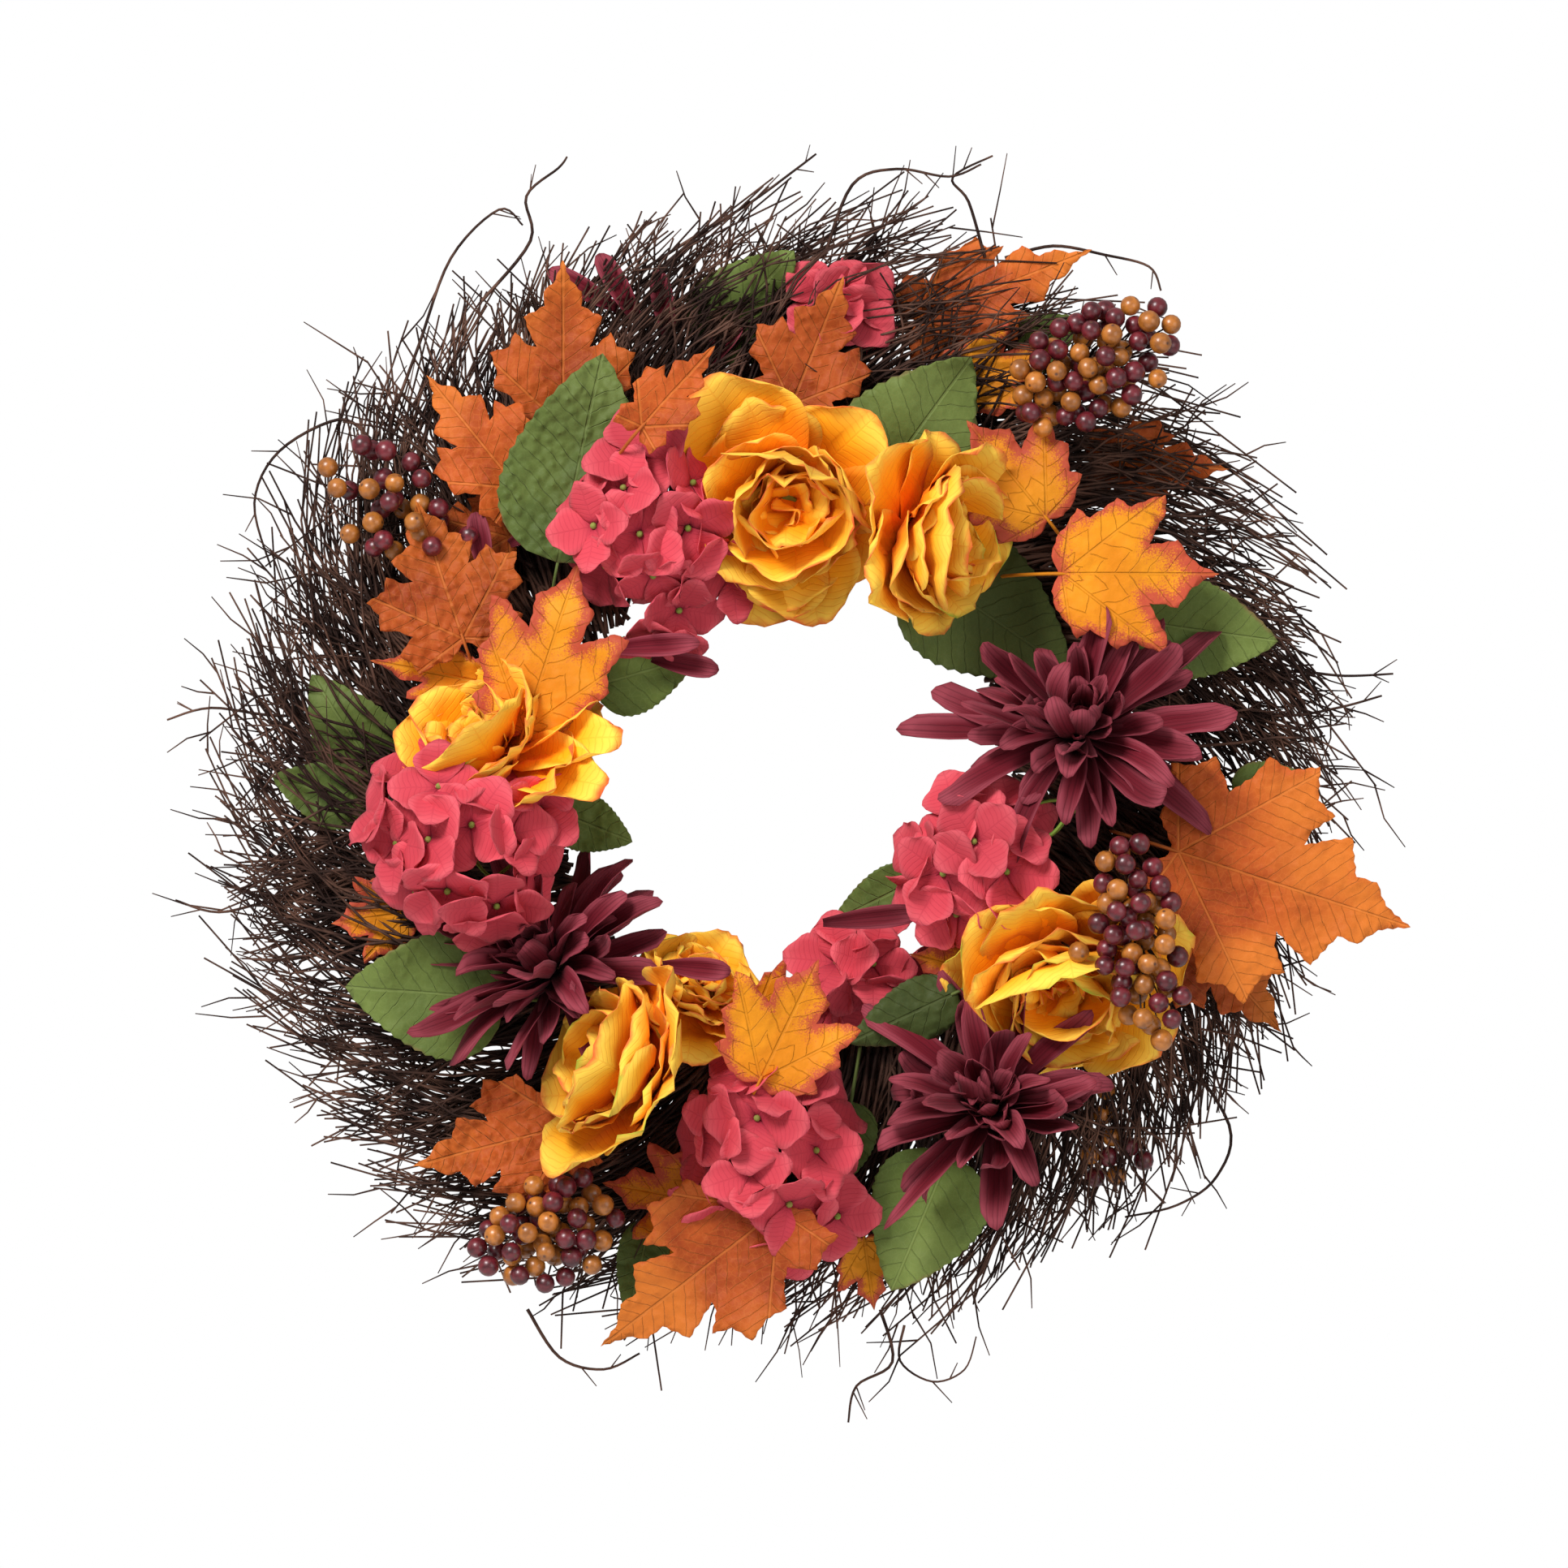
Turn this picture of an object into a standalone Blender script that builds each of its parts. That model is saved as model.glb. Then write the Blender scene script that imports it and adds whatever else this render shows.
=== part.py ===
"""Harvest door wreath: a wire ring dressed with swept twigs, silk leaves, flowers and berry sprays.

The wreath is laid out flat, face up, around the middle of its ring.  A place on it is a clock
angle (degrees clockwise from the top), a radius from the middle and a height above the door.
Flowers and leaves are placed from the ring and from the front of the twigs that they are tied to.
The layout hangs from an empty that stands it upright: X right, Z up, the front towards -Y.
The world origin is the top of the hanging loop, where the door hook bears.
"""

import math

import bmesh
import bpy
from mathutils import Euler, Vector

# Driving dimensions, in metres.
RING_RADIUS = 0.135
RING_WIRE = 0.004
LOOP_WIRE = 0.0016
LOOP_INNER_WIDTH = 0.0144
LOOP_RISE = 0.016
BINDING_WIRE = 0.001
BINDING_TURNS = 14
WIRE_CLEARANCE = 0.0005
FACE_GAP = 0.0005

WREATH_RADIUS = 0.3048
TWIG_INNER_REACH = 0.032
TWIG_SWEEP = math.tan(math.radians(30.0))
TWIG_BUNDLES = 8
BUNDLE_COLUMNS = 10
BUNDLE_GAP = 0.0008
NOTCH_SHARE = 0.87
TIP_UNEVENNESS = 0.045
BACK_PLANE = 0.001
CORE_HEIGHT = 0.027
SPRAY_RISE = 0.014

LEAF_THICKNESS = 0.001
STALK_WIDTH = 0.0024
STEM_RADIUS = 0.002
STEM_STEP = 0.0005
HEAD_STEPS = 8
LOOP_HALF_ANGLE = 12.0

# Where the ring wire runs, and where the hook bears on the loop above it.
WIRE_HEIGHT = BACK_PLANE + 0.0005 + RING_WIRE / 2 + LOOP_WIRE / 2 + WIRE_CLEARANCE
LOOP_TURN = LOOP_INNER_WIDTH / 2 + LOOP_WIRE / 2
LOOP_TOP = LOOP_RISE + LOOP_INNER_WIDTH / 2
HANG_RADIUS = RING_RADIUS + LOOP_TOP
TWIG_INNER_RADIUS = RING_RADIUS - TWIG_INNER_REACH
SPRAY_HEIGHT = CORE_HEIGHT + SPRAY_RISE

# The recess behind the twigs clears the wound ring, and the loop whichever way it lies.
RECESS_HEIGHT = WIRE_HEIGHT + RING_WIRE / 2 + WIRE_CLEARANCE + LOOP_WIRE + FACE_GAP
RECESS_RADIUS = HANG_RADIUS + LOOP_WIRE + 0.006

# Radius, back and front of a bundle of twigs, from the inner edge out to its shortest tips.
BUNDLE_ROWS = (
    (TWIG_INNER_RADIUS, RECESS_HEIGHT + 0.003, CORE_HEIGHT - 0.008),
    (RING_RADIUS - 0.017, RECESS_HEIGHT, CORE_HEIGHT),
    (RING_RADIUS + 0.013, RECESS_HEIGHT, CORE_HEIGHT),
    (RECESS_RADIUS, RECESS_HEIGHT, CORE_HEIGHT - 0.008),
    (RECESS_RADIUS + 0.002, BACK_PLANE, CORE_HEIGHT - 0.009),
    (WREATH_RADIUS * 0.75, BACK_PLANE, CORE_HEIGHT - 0.013),
)
BUNDLE_TIP = (0.0025, 0.007)
SPRAY_ROWS = (
    (RECESS_RADIUS - 0.002, CORE_HEIGHT - 0.0045, CORE_HEIGHT + 0.001),
    (RECESS_RADIUS + 0.014, SPRAY_HEIGHT - 0.009, SPRAY_HEIGHT),
    (WREATH_RADIUS * 0.75, SPRAY_HEIGHT - 0.008, SPRAY_HEIGHT),
)
SPRAY_TIP = (SPRAY_HEIGHT - 0.006, SPRAY_HEIGHT - 0.002)

# Front sprays: name, clock angle where the spray leaves the ring, its spread, number of fingers.
FRONT_SPRAYS = (
    ("front_twigs_left", 228.0, 30.0, 6),
    ("front_twigs_top", 290.0, 32.0, 6),
    ("front_twigs_upper_right", 330.0, 32.0, 6),
    ("front_twigs_right", 12.0, 28.0, 6),
)

# Flower heads: clock of the middle, its reach outside the ring and its rise above the twigs'
# front; tilt and the clock heading it leans to;
# half width, half length along the heading, and depth.
PEONIES = (
    (0.6, 0.005, 0.055, 12.0, 190.0, 0.033, 0.043, 0.024),
    (30.0, 0.007, 0.055, 17.0, 95.0, 0.036, 0.020, 0.022),
    (279.0, 0.011, 0.053, 35.0, 320.0, 0.030, 0.024, 0.024),
    (211.0, 0.031, 0.055, 35.0, 297.0, 0.038, 0.024, 0.022),
    (203.0, -0.031, 0.039, 30.0, 30.0, 0.018, 0.024, 0.020),
    (126.5, 0.035, 0.053, 25.0, 160.0, 0.034, 0.026, 0.024),
)
HYDRANGEAS = (
    (331.0, 0.012, 0.055, 10.0, 150.0, 0.032, 0.034, 0.022),
    (258.0, 0.029, 0.053, 15.0, 230.0, 0.036, 0.024, 0.022),
    (181.5, 0.059, 0.051, 15.0, 180.0, 0.032, 0.034, 0.022),
    (112.0, -0.035, 0.063, 10.0, 290.0, 0.028, 0.028, 0.020),
    (156.0, -0.046, 0.029, 8.0, 336.0, 0.024, 0.018, 0.014),
    (6.5, 0.103, -0.0025, 0.0, 0.0, 0.018, 0.013, 0.0045),
)
MUMS = (
    (233.0, 0.001, 0.055, 30.0, 310.0, 0.028, 0.026, 0.022),
    (80.5, 0.015, 0.059, 20.0, 110.0, 0.036, 0.036, 0.022),
    (149.0, 0.043, 0.055, 20.0, 330.0, 0.032, 0.030, 0.022),
)
BERRY_SPRAYS = (
    (305.5, 0.101, 0.024, 0.0, 306.0, 0.024, 0.030, 0.008),
    (36.5, 0.120, 0.037, 0.0, 60.0, 0.022, 0.042, 0.010),
    (112.0, 0.069, 0.073, 20.0, 100.0, 0.017, 0.044, 0.009),
    (208.0, 0.113, 0.033, 0.0, 70.0, 0.024, 0.030, 0.009),
)

# Leaves: clock of the leaf's base and its reach outside the ring; heading; length, width; rise
# above the twigs' front; pitch;
# how far the stalk runs on past the base, and how far it dips towards the twigs.
GREEN_LEAVES = (
    (313.0, 0.026, 12.0, 0.104, 0.070, 0.026, 2.0, 0.020, 0.020),
    (15.0, 0.002, 36.0, 0.097, 0.074, 0.022, 2.0, 0.012, 0.018),
    (37.0, 0.003, 125.0, 0.087, 0.064, 0.02, 2.0, 0.008, 0.016),
    (65.0, 0.055, 98.0, 0.072, 0.052, 0.023, 2.0, 0.018, 0.006),
    (269.0, 0.061, 327.0, 0.070, 0.046, -0.007, 0.0, 0.010, 0.001),
    (297.0, -0.029, 74.0, 0.054, 0.040, 0.017, 2.0, 0.012, 0.012),
    (232.0, 0.039, 274.0, 0.080, 0.066, 0.019, 2.0, 0.018, 0.016),
    (156.0, 0.064, 203.0, 0.074, 0.060, 0.019, 2.0, 0.018, 0.014),
    (140.0, -0.001, 245.0, 0.060, 0.032, 0.021, 2.0, 0.010, 0.016),
    (124.0, -0.051, 243.0, 0.050, 0.028, 0.004, 0.0, 0.014, 0.001),
    (349.0, 0.085, 43.0, 0.068, 0.050, -0.007, 0.0, 0.016, 0.001),
)
MAPLE_LEAVES = (
    (328.0, 0.071, 0.0, 0.084, 0.072, 0.0175, 2.0, 0.016, 0.001),
    (318.0, 0.060, 321.0, 0.073, 0.056, 0.022, 2.0, 0.014, 0.004),
    (294.0, 0.037, 341.0, 0.073, 0.078, 0.036, 2.0, 0.010, 0.001),
    (294.0, -0.003, 41.0, 0.056, 0.060, 0.04, 2.0, 0.010, 0.010),
    (289.0, 0.015, 281.0, 0.063, 0.030, 0.03, 2.0, 0.010, 0.014),
    (1.0, 0.051, 22.0, 0.070, 0.062, 0.0175, 2.0, 0.010, 0.002),
    (16.0, 0.105, 68.0, 0.094, 0.056, -0.006, 0.0, 0.010, 0.001),
    (45.0, 0.048, 321.0, 0.063, 0.066, 0.04, 2.0, 0.012, 0.002),
    (52.0, 0.038, 90.0, 0.078, 0.078, 0.033, 2.0, 0.012, 0.006),
    (44.0, 0.089, 94.0, 0.066, 0.044, -0.006, 0.0, 0.010, 0.001),
    (101.0, 0.072, 108.0, 0.112, 0.114, 0.026, 2.0, 0.018, 0.012),
    (108.0, 0.069, 139.0, 0.079, 0.064, 0.019, 2.0, 0.014, 0.010),
    (183.0, 0.018, 26.0, 0.066, 0.068, 0.047, 2.0, 0.010, 0.012),
    (213.0, 0.067, 255.0, 0.076, 0.056, 0.019, 2.0, 0.014, 0.010),
    (179.0, 0.099, 230.0, 0.096, 0.084, 0.019, 2.0, 0.012, 0.008),
)
RUST_MAPLES = (1, 2, 3, 6, 7, 10, 11, 12, 14, 15)

# Right-hand half of the outlines, from the tip to the stalk, for a leaf one unit long and wide.
MAPLE_HALF = (
    (0.11, 0.68),
    (0.24, 0.63),
    (0.16, 0.42),
    (0.33, 0.45),
    (0.50, 0.40),
    (0.43, 0.18),
    (0.22, 0.05),
    (0.27, -0.13),
)
MAPLE_HUB = 0.20
OVATE_ROWS = (
    (0.00, 0.06),
    (0.06, 0.56),
    (0.22, 0.94),
    (0.42, 1.00),
    (0.64, 0.80),
    (0.84, 0.44),
    (1.00, 0.03),
)

# Profile of a flower head: share of the half width, share of the depth.
HEAD_PROFILE = (
    (0.88, -0.25),
    (1.00, 0.20),
    (0.66, 0.80),
    (0.00, 1.00),
)
HEAD_FLOOR = -0.65

COLOURS = {
    "ring_wire": ((0.045, 0.060, 0.040), 0.45, 0.8),
    "loop_wire": ((0.050, 0.050, 0.050), 0.40, 0.9),
    "binding_wire": ((0.030, 0.050, 0.030), 0.50, 0.7),
    "twig": ((0.030, 0.020, 0.016), 0.85, 0.0),
    "peony": ((0.950, 0.480, 0.040), 0.80, 0.0),
    "hydrangea": ((0.680, 0.060, 0.100), 0.80, 0.0),
    "mum": ((0.130, 0.012, 0.035), 0.80, 0.0),
    "berry": ((0.110, 0.012, 0.020), 0.35, 0.0),
    "green_leaf": ((0.085, 0.180, 0.055), 0.75, 0.0),
    "rust_leaf": ((0.480, 0.095, 0.020), 0.75, 0.0),
    "gold_leaf": ((0.870, 0.330, 0.020), 0.75, 0.0),
}


def clear_scene():
    for thing in list(bpy.data.objects):
        bpy.data.objects.remove(thing, do_unlink=True)


def paint(slot):
    """One Principled material for a kind of piece."""
    found = bpy.data.materials.get(slot)
    if found:
        return found
    colour, roughness, metallic = COLOURS[slot]
    made = bpy.data.materials.new(slot)
    made.use_nodes = True
    shader = made.node_tree.nodes["Principled BSDF"]
    shader.inputs["Base Color"].default_value = (*colour, 1.0)
    shader.inputs["Roughness"].default_value = roughness
    shader.inputs["Metallic"].default_value = metallic
    made.diffuse_color = (*colour, 1.0)
    return made


def spot(clock, radius, height):
    """A place in the flat layout."""
    angle = math.radians(clock)
    return Vector((radius * math.sin(angle), radius * math.cos(angle), height))


def on_ring(clock, reach, rise):
    """A place given from the ring and from the front of the twigs."""
    return spot(clock, RING_RADIUS + reach, CORE_HEIGHT + rise)


def leaning(heading, tilt):
    """Rotation that turns local +Y to a clock heading and leans local +Z towards it."""
    return Euler((-math.radians(tilt), 0.0, -math.radians(heading)), "XYZ")


def swept(clock, radius):
    """Clock angle of a twig at a radius, when it leaves the inner edge at the given clock."""
    return clock + math.degrees(TWIG_SWEEP * math.log(radius / TWIG_INNER_RADIUS))


def twig_front(radius):
    """Height of the front of the rear twigs at a radius."""
    rows = BUNDLE_ROWS + ((WREATH_RADIUS, 0.0, BUNDLE_TIP[1]),)
    for (near, _, near_top), (far, _, far_top) in zip(rows, rows[1:]):
        if radius <= far:
            share = max(0.0, (radius - near) / (far - near))
            return near_top + share * (far_top - near_top)
    return BUNDLE_TIP[1]


class Wreath:
    """Makes pieces and hangs them in the flat layout."""

    def __init__(self, name):
        self.collection = bpy.data.collections.new(name)
        bpy.context.scene.collection.children.link(self.collection)
        self.flat = bpy.data.objects.new("flat_layout", None)
        self.collection.objects.link(self.flat)
        self.flat.rotation_euler = (math.radians(90.0), 0.0, 0.0)
        self.flat.location = (0.0, WIRE_HEIGHT, -HANG_RADIUS)

    def add(self, name, data, slot, location=(0.0, 0.0, 0.0), rotation=None, parent=None):
        piece = bpy.data.objects.new(name, data)
        self.collection.objects.link(piece)
        piece.parent = parent or self.flat
        piece.location = location
        if rotation:
            piece.rotation_euler = rotation
        data.materials.append(paint(slot))
        return piece


def mesh_from(bm, name):
    bmesh.ops.recalc_face_normals(bm, faces=bm.faces[:])
    mesh = bpy.data.meshes.new(name)
    bm.to_mesh(mesh)
    bm.free()
    return mesh


def wire_curve(name, points, diameter, resolution=2):
    """A round wire along the points, with closed ends."""
    curve = bpy.data.curves.new(name, "CURVE")
    curve.dimensions = "3D"
    curve.bevel_depth = diameter / 2
    curve.bevel_resolution = resolution
    curve.use_fill_caps = True
    spline = curve.splines.new("POLY")
    spline.points.add(len(points) - 1)
    for target, point in zip(spline.points, points):
        target.co = (*point, 1.0)
    return curve


def ring_frame(wreath):
    bpy.ops.mesh.primitive_torus_add(
        major_segments=48,
        minor_segments=8,
        major_radius=RING_RADIUS,
        minor_radius=RING_WIRE / 2,
    )
    ring = bpy.context.active_object
    ring.name = "ring_frame"
    for home in list(ring.users_collection):
        home.objects.unlink(ring)
    wreath.collection.objects.link(ring)
    ring.parent = wreath.flat
    ring.location = (0.0, 0.0, WIRE_HEIGHT)
    ring.data.materials.append(paint("ring_wire"))
    for polygon in ring.data.polygons:
        polygon.use_smooth = True


def binding_wire(wreath):
    """Thin wire wound round the ring, stopping short of the hanging loop on both sides."""
    turn = RING_WIRE / 2 + WIRE_CLEARANCE + BINDING_WIRE
    steps = BINDING_TURNS * 8
    sweep = 360.0 - 2 * LOOP_HALF_ANGLE
    points = []
    for step in range(steps + 1):
        share = step / steps
        around = 2 * math.pi * BINDING_TURNS * share
        clock = LOOP_HALF_ANGLE + sweep * share
        radius = RING_RADIUS + turn * math.cos(around)
        points.append(spot(clock, radius, WIRE_HEIGHT + turn * math.sin(around)))
    wreath.add("binding_wire", wire_curve("binding_wire", points, BINDING_WIRE, 1), "binding_wire")


def hanging_loop(wreath):
    """A wire loop that hooks round the ring on both legs; its pivot is the ring wire."""
    pivot = bpy.data.objects.new("loop_pivot", None)
    wreath.collection.objects.link(pivot)
    pivot.parent = wreath.flat
    pivot.location = (0.0, RING_RADIUS, WIRE_HEIGHT)
    eye = RING_WIRE / 2 + WIRE_CLEARANCE + LOOP_WIRE / 2
    foot = LOOP_TURN * 0.6
    leg = [Vector((foot + 0.001, eye * math.cos(turn), eye * math.sin(turn)))
           for turn in (math.radians(90 + 30 * step) for step in range(9))]
    leg.append(Vector((foot, eye, 0.0)))
    arc = [Vector((LOOP_TURN * math.cos(turn), LOOP_RISE + LOOP_TURN * math.sin(turn), 0.0))
           for turn in (math.radians(15 * step) for step in range(13))]
    far_leg = [Vector((-point.x, point.y, point.z)) for point in reversed(leg)]
    curve = wire_curve("hanging_loop", leg + arc + far_leg, LOOP_WIRE)
    wreath.add("hanging_loop", curve, "loop_wire", parent=pivot)


def tip_radius(start, column):
    """Odd columns end in long tips of uneven length, even ones in the notches between."""
    if column % 2 == 0:
        return WREATH_RADIUS * NOTCH_SHARE
    unevenness = 0.5 + 0.5 * math.sin(start + 2.4 * column)
    return WREATH_RADIUS * (1.0 - TIP_UNEVENNESS * unevenness)


def twig_slab(name, start, spread, columns, rows, tip_heights):
    """A closed slab of swept twigs: a grid bent round the ring, its last row cut into fingers."""
    bm = bmesh.new()
    last = len(rows)
    bmesh.ops.create_grid(bm, x_segments=columns, y_segments=last, size=0.5)
    lifted = bmesh.ops.extrude_face_region(bm, geom=bm.faces[:], use_keep_orig=True)
    front_verts = {item for item in lifted["geom"] if isinstance(item, bmesh.types.BMVert)}
    for vert in bm.verts:
        column = round((vert.co.x + 0.5) * columns)
        row = round((vert.co.y + 0.5) * last)
        if row < last:
            radius, back, front = rows[row]
        else:
            radius = tip_radius(start, column)
            back, front = tip_heights
        gap = math.degrees(BUNDLE_GAP / 2 / radius) * (1 - 2 * column / columns)
        clock = swept(start + spread * column / columns, radius) + gap
        vert.co = spot(clock, radius, front if vert in front_verts else back)
    return mesh_from(bm, name)


def rear_twigs(wreath):
    spread = 360.0 / TWIG_BUNDLES
    for index in range(TWIG_BUNDLES):
        name = f"twig_bundle_{index + 1}"
        mesh = twig_slab(name, index * spread, spread, BUNDLE_COLUMNS, BUNDLE_ROWS, BUNDLE_TIP)
        wreath.add(name, mesh, "twig")


def front_twigs(wreath):
    for name, start, spread, fingers in FRONT_SPRAYS:
        mesh = twig_slab(name, start, spread, fingers, SPRAY_ROWS, SPRAY_TIP)
        wreath.add(name, mesh, "twig")


def stem_length(place, rotation):
    """How far a stem runs down its own axis before it meets the twigs."""
    axis = rotation.to_matrix() @ Vector((0.0, 0.0, 1.0))
    length = 0.0
    end = place.copy()
    while end.z > twig_front(end.xy.length) + STEM_RADIUS + FACE_GAP:
        length += STEM_STEP
        end = place - axis * length
    return length


def turned_head(wreath, name, slot, row):
    """A flower head or berry cluster on its stem, turned about the stem's axis."""
    clock, reach, rise, tilt, heading, half_width, half_length, depth = row
    place = on_ring(clock, reach, rise)
    rotation = leaning(heading, tilt)
    stem = stem_length(place, rotation)
    floor = HEAD_FLOOR * depth
    profile = [(share * half_width, part * depth) for share, part in reversed(HEAD_PROFILE)]
    profile.append((STEM_RADIUS, floor))
    if stem > STEM_RADIUS - floor:
        profile.append((STEM_RADIUS, -stem))
        profile.append((0.0, -stem))
    else:
        profile.append((0.0, floor))
    mesh = bpy.data.meshes.new(name)
    edges = [(index, index + 1) for index in range(len(profile) - 1)]
    mesh.from_pydata([(x, 0.0, z) for x, z in profile], edges, [])
    head = wreath.add(name, mesh, slot, place, rotation)
    head.scale = (1.0, half_length / half_width, 1.0)
    turn = head.modifiers.new("turned", "SCREW")
    turn.steps = HEAD_STEPS
    turn.render_steps = HEAD_STEPS
    turn.use_merge_vertices = True
    turn.merge_threshold = 0.00001
    turn.use_normal_calculate = True
    turn.use_smooth_shade = True
    return head


def numbered(wreath, stem_name, slot, rows):
    for index, row in enumerate(rows, start=1):
        turned_head(wreath, f"{stem_name}_{index}", slot, row)


def hang_leaf(wreath, name, mesh, slot, row):
    clock, reach, heading, _, _, rise, pitch, _, _ = row
    leaf = wreath.add(name, mesh, slot, on_ring(clock, reach, rise), leaning(heading, -pitch))
    thicken = leaf.modifiers.new("thickness", "SOLIDIFY")
    thicken.thickness = LEAF_THICKNESS
    thicken.offset = 0.0
    return leaf


def green_leaf(wreath, name, row):
    """A folded ovate leaf: three lines of points from the stalk to the tip."""
    length, width, stalk, dip = row[3], row[4], row[7], row[8]
    bm = bmesh.new()
    steps = len(OVATE_ROWS)
    bmesh.ops.create_grid(bm, x_segments=2, y_segments=steps, size=1.0)
    for vert in bm.verts:
        side = round(vert.co.x)
        step = round((vert.co.y + 1.0) / 2.0 * steps)
        if step == 0:
            vert.co = Vector((side * STALK_WIDTH / 2, -stalk, -dip))
            continue
        along, breadth = OVATE_ROWS[step - 1]
        reach = max(breadth * width / 2, STALK_WIDTH / 2)
        vert.co = Vector((side * reach, along * length, abs(side) * reach * 0.03))
    hang_leaf(wreath, name, mesh_from(bm, name), "green_leaf", row)


def maple_outline(length, width, stalk, dip):
    half = [Vector((x * width, y * length, 0.0)) for x, y in MAPLE_HALF]
    half.append(Vector((STALK_WIDTH / 2, -0.02 * length, 0.0)))
    half.append(Vector((STALK_WIDTH / 2, -stalk, -dip)))
    left = [Vector((-point.x, point.y, point.z)) for point in half]
    return [Vector((0.0, length, 0.0))] + left + half[::-1]


def maple_leaf(wreath, name, slot, row):
    """A lobed leaf: a disc of triangles round the vein junction, pulled out to the outline."""
    length, width, stalk, dip = row[3], row[4], row[7], row[8]
    outline = maple_outline(length, width, stalk, dip)
    bm = bmesh.new()
    bmesh.ops.create_circle(bm, cap_ends=True, cap_tris=True, segments=len(outline), radius=1.0)
    rim = [vert for vert in bm.verts if vert.co.length > 0.5]
    hub = [vert for vert in bm.verts if vert.co.length <= 0.5]
    for vert, point in zip(rim, outline):
        vert.co = point
    hub[0].co = Vector((0.0, MAPLE_HUB * length, 0.0))
    hang_leaf(wreath, name, mesh_from(bm, name), slot, row)


def leaves(wreath):
    for index, row in enumerate(GREEN_LEAVES, start=1):
        green_leaf(wreath, f"green_leaf_{index}", row)
    for index, row in enumerate(MAPLE_LEAVES, start=1):
        slot = "rust_leaf" if index in RUST_MAPLES else "gold_leaf"
        maple_leaf(wreath, f"maple_leaf_{index}", slot, row)


def main():
    clear_scene()
    wreath = Wreath("harvest_door_wreath")
    ring_frame(wreath)
    binding_wire(wreath)
    hanging_loop(wreath)
    rear_twigs(wreath)
    front_twigs(wreath)
    numbered(wreath, "peony", "peony", PEONIES)
    numbered(wreath, "hydrangea", "hydrangea", HYDRANGEAS)
    numbered(wreath, "mum", "mum", MUMS)
    numbered(wreath, "berry_spray", "berry", BERRY_SPRAYS)
    leaves(wreath)


main()
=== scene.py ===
"""Harvest door wreath: the finished look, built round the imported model.

Every piece is placed from the model's nodes.  In the flat layout the wreath lies face up: x to
the right, y to the top, height towards the viewer; clock angles run clockwise from the top.
"""

import math
import random

import bmesh
import bpy
import numpy as np
from bpy.props import FloatProperty, FloatVectorProperty, IntProperty, PointerProperty
from mathutils import Euler, Matrix, Vector, noise


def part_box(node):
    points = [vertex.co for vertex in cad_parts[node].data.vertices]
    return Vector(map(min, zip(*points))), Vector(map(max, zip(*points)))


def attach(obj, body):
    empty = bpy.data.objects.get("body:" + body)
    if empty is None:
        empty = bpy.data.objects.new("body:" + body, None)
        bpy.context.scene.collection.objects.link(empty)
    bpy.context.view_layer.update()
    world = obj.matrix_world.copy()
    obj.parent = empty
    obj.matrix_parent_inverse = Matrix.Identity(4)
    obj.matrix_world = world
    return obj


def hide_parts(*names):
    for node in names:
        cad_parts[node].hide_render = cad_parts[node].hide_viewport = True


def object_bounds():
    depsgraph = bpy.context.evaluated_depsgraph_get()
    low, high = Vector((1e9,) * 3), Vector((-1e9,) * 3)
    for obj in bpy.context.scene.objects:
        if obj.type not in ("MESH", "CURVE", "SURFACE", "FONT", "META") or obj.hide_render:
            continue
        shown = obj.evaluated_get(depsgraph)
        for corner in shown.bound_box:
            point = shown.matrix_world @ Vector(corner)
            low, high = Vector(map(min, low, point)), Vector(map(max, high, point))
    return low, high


bl_info = {
    "name": "Harvest door wreath",
    "version": (1, 0, 0),
    "blender": (4, 5, 0),
    "location": "View3D > Sidebar > Wreath",
    "description": "Twigs, silk leaves, flowers and berries of a harvest door wreath",
    "category": "Object",
}

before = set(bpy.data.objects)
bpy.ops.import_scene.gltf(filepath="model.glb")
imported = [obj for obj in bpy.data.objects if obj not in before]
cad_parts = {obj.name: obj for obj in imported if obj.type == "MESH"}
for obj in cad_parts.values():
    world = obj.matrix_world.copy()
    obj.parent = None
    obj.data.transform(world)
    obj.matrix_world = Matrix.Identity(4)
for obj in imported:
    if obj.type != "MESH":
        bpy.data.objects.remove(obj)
MODEL_BOX = [list(corner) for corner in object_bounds()]
BODY = "wreath"

RING_LOW, RING_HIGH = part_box("ring_frame")
RING_MIDDLE = (RING_LOW + RING_HIGH) / 2
TWIG_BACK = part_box("twig_bundle_1")[1].y
WREATH_REACH = max(abs(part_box(f"twig_bundle_{n}")[side].x) for n in range(1, 9) for side in (0, 1))

# The flat layout stood up against the door, and the way back.
LAYOUT = Matrix.Translation((RING_MIDDLE.x, TWIG_BACK, RING_MIDDLE.z)) @ Matrix.Rotation(math.pi / 2, 4, "X")
LAYOUT_INVERSE = LAYOUT.inverted()

# Twigs pass in front of the hanging loop: at least this high, as far out as the loop reaches.
LOOP_LOW, LOOP_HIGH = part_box("hanging_loop")
LOOP_FRONT = TWIG_BACK - LOOP_LOW.y + 0.0025
LOOP_REACH = LOOP_HIGH.z - RING_MIDDLE.z + 0.006

# Where soft pieces stop behind and in front, and over what depth they are pressed flat there.
BACK_LIMIT, BACK_GIVE = TWIG_BACK - 0.003, 0.002
FRONT_LIMIT, FRONT_GIVE = MODEL_BOX[0][1] - 0.004, 0.008

# Stems and stalks end at this height among the twigs; flower heads sit below their nodes' crowns.
ROOT_HEIGHT = 0.014
HEAD_SINK = 0.008
STALK_RADIUS = 0.0009
STALK_REACH = 0.030
STEM_REACH = 0.010
STEM_RADIUS = {"peony": 0.0022, "hydrangea": 0.0016, "mum": 0.0020}

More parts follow.
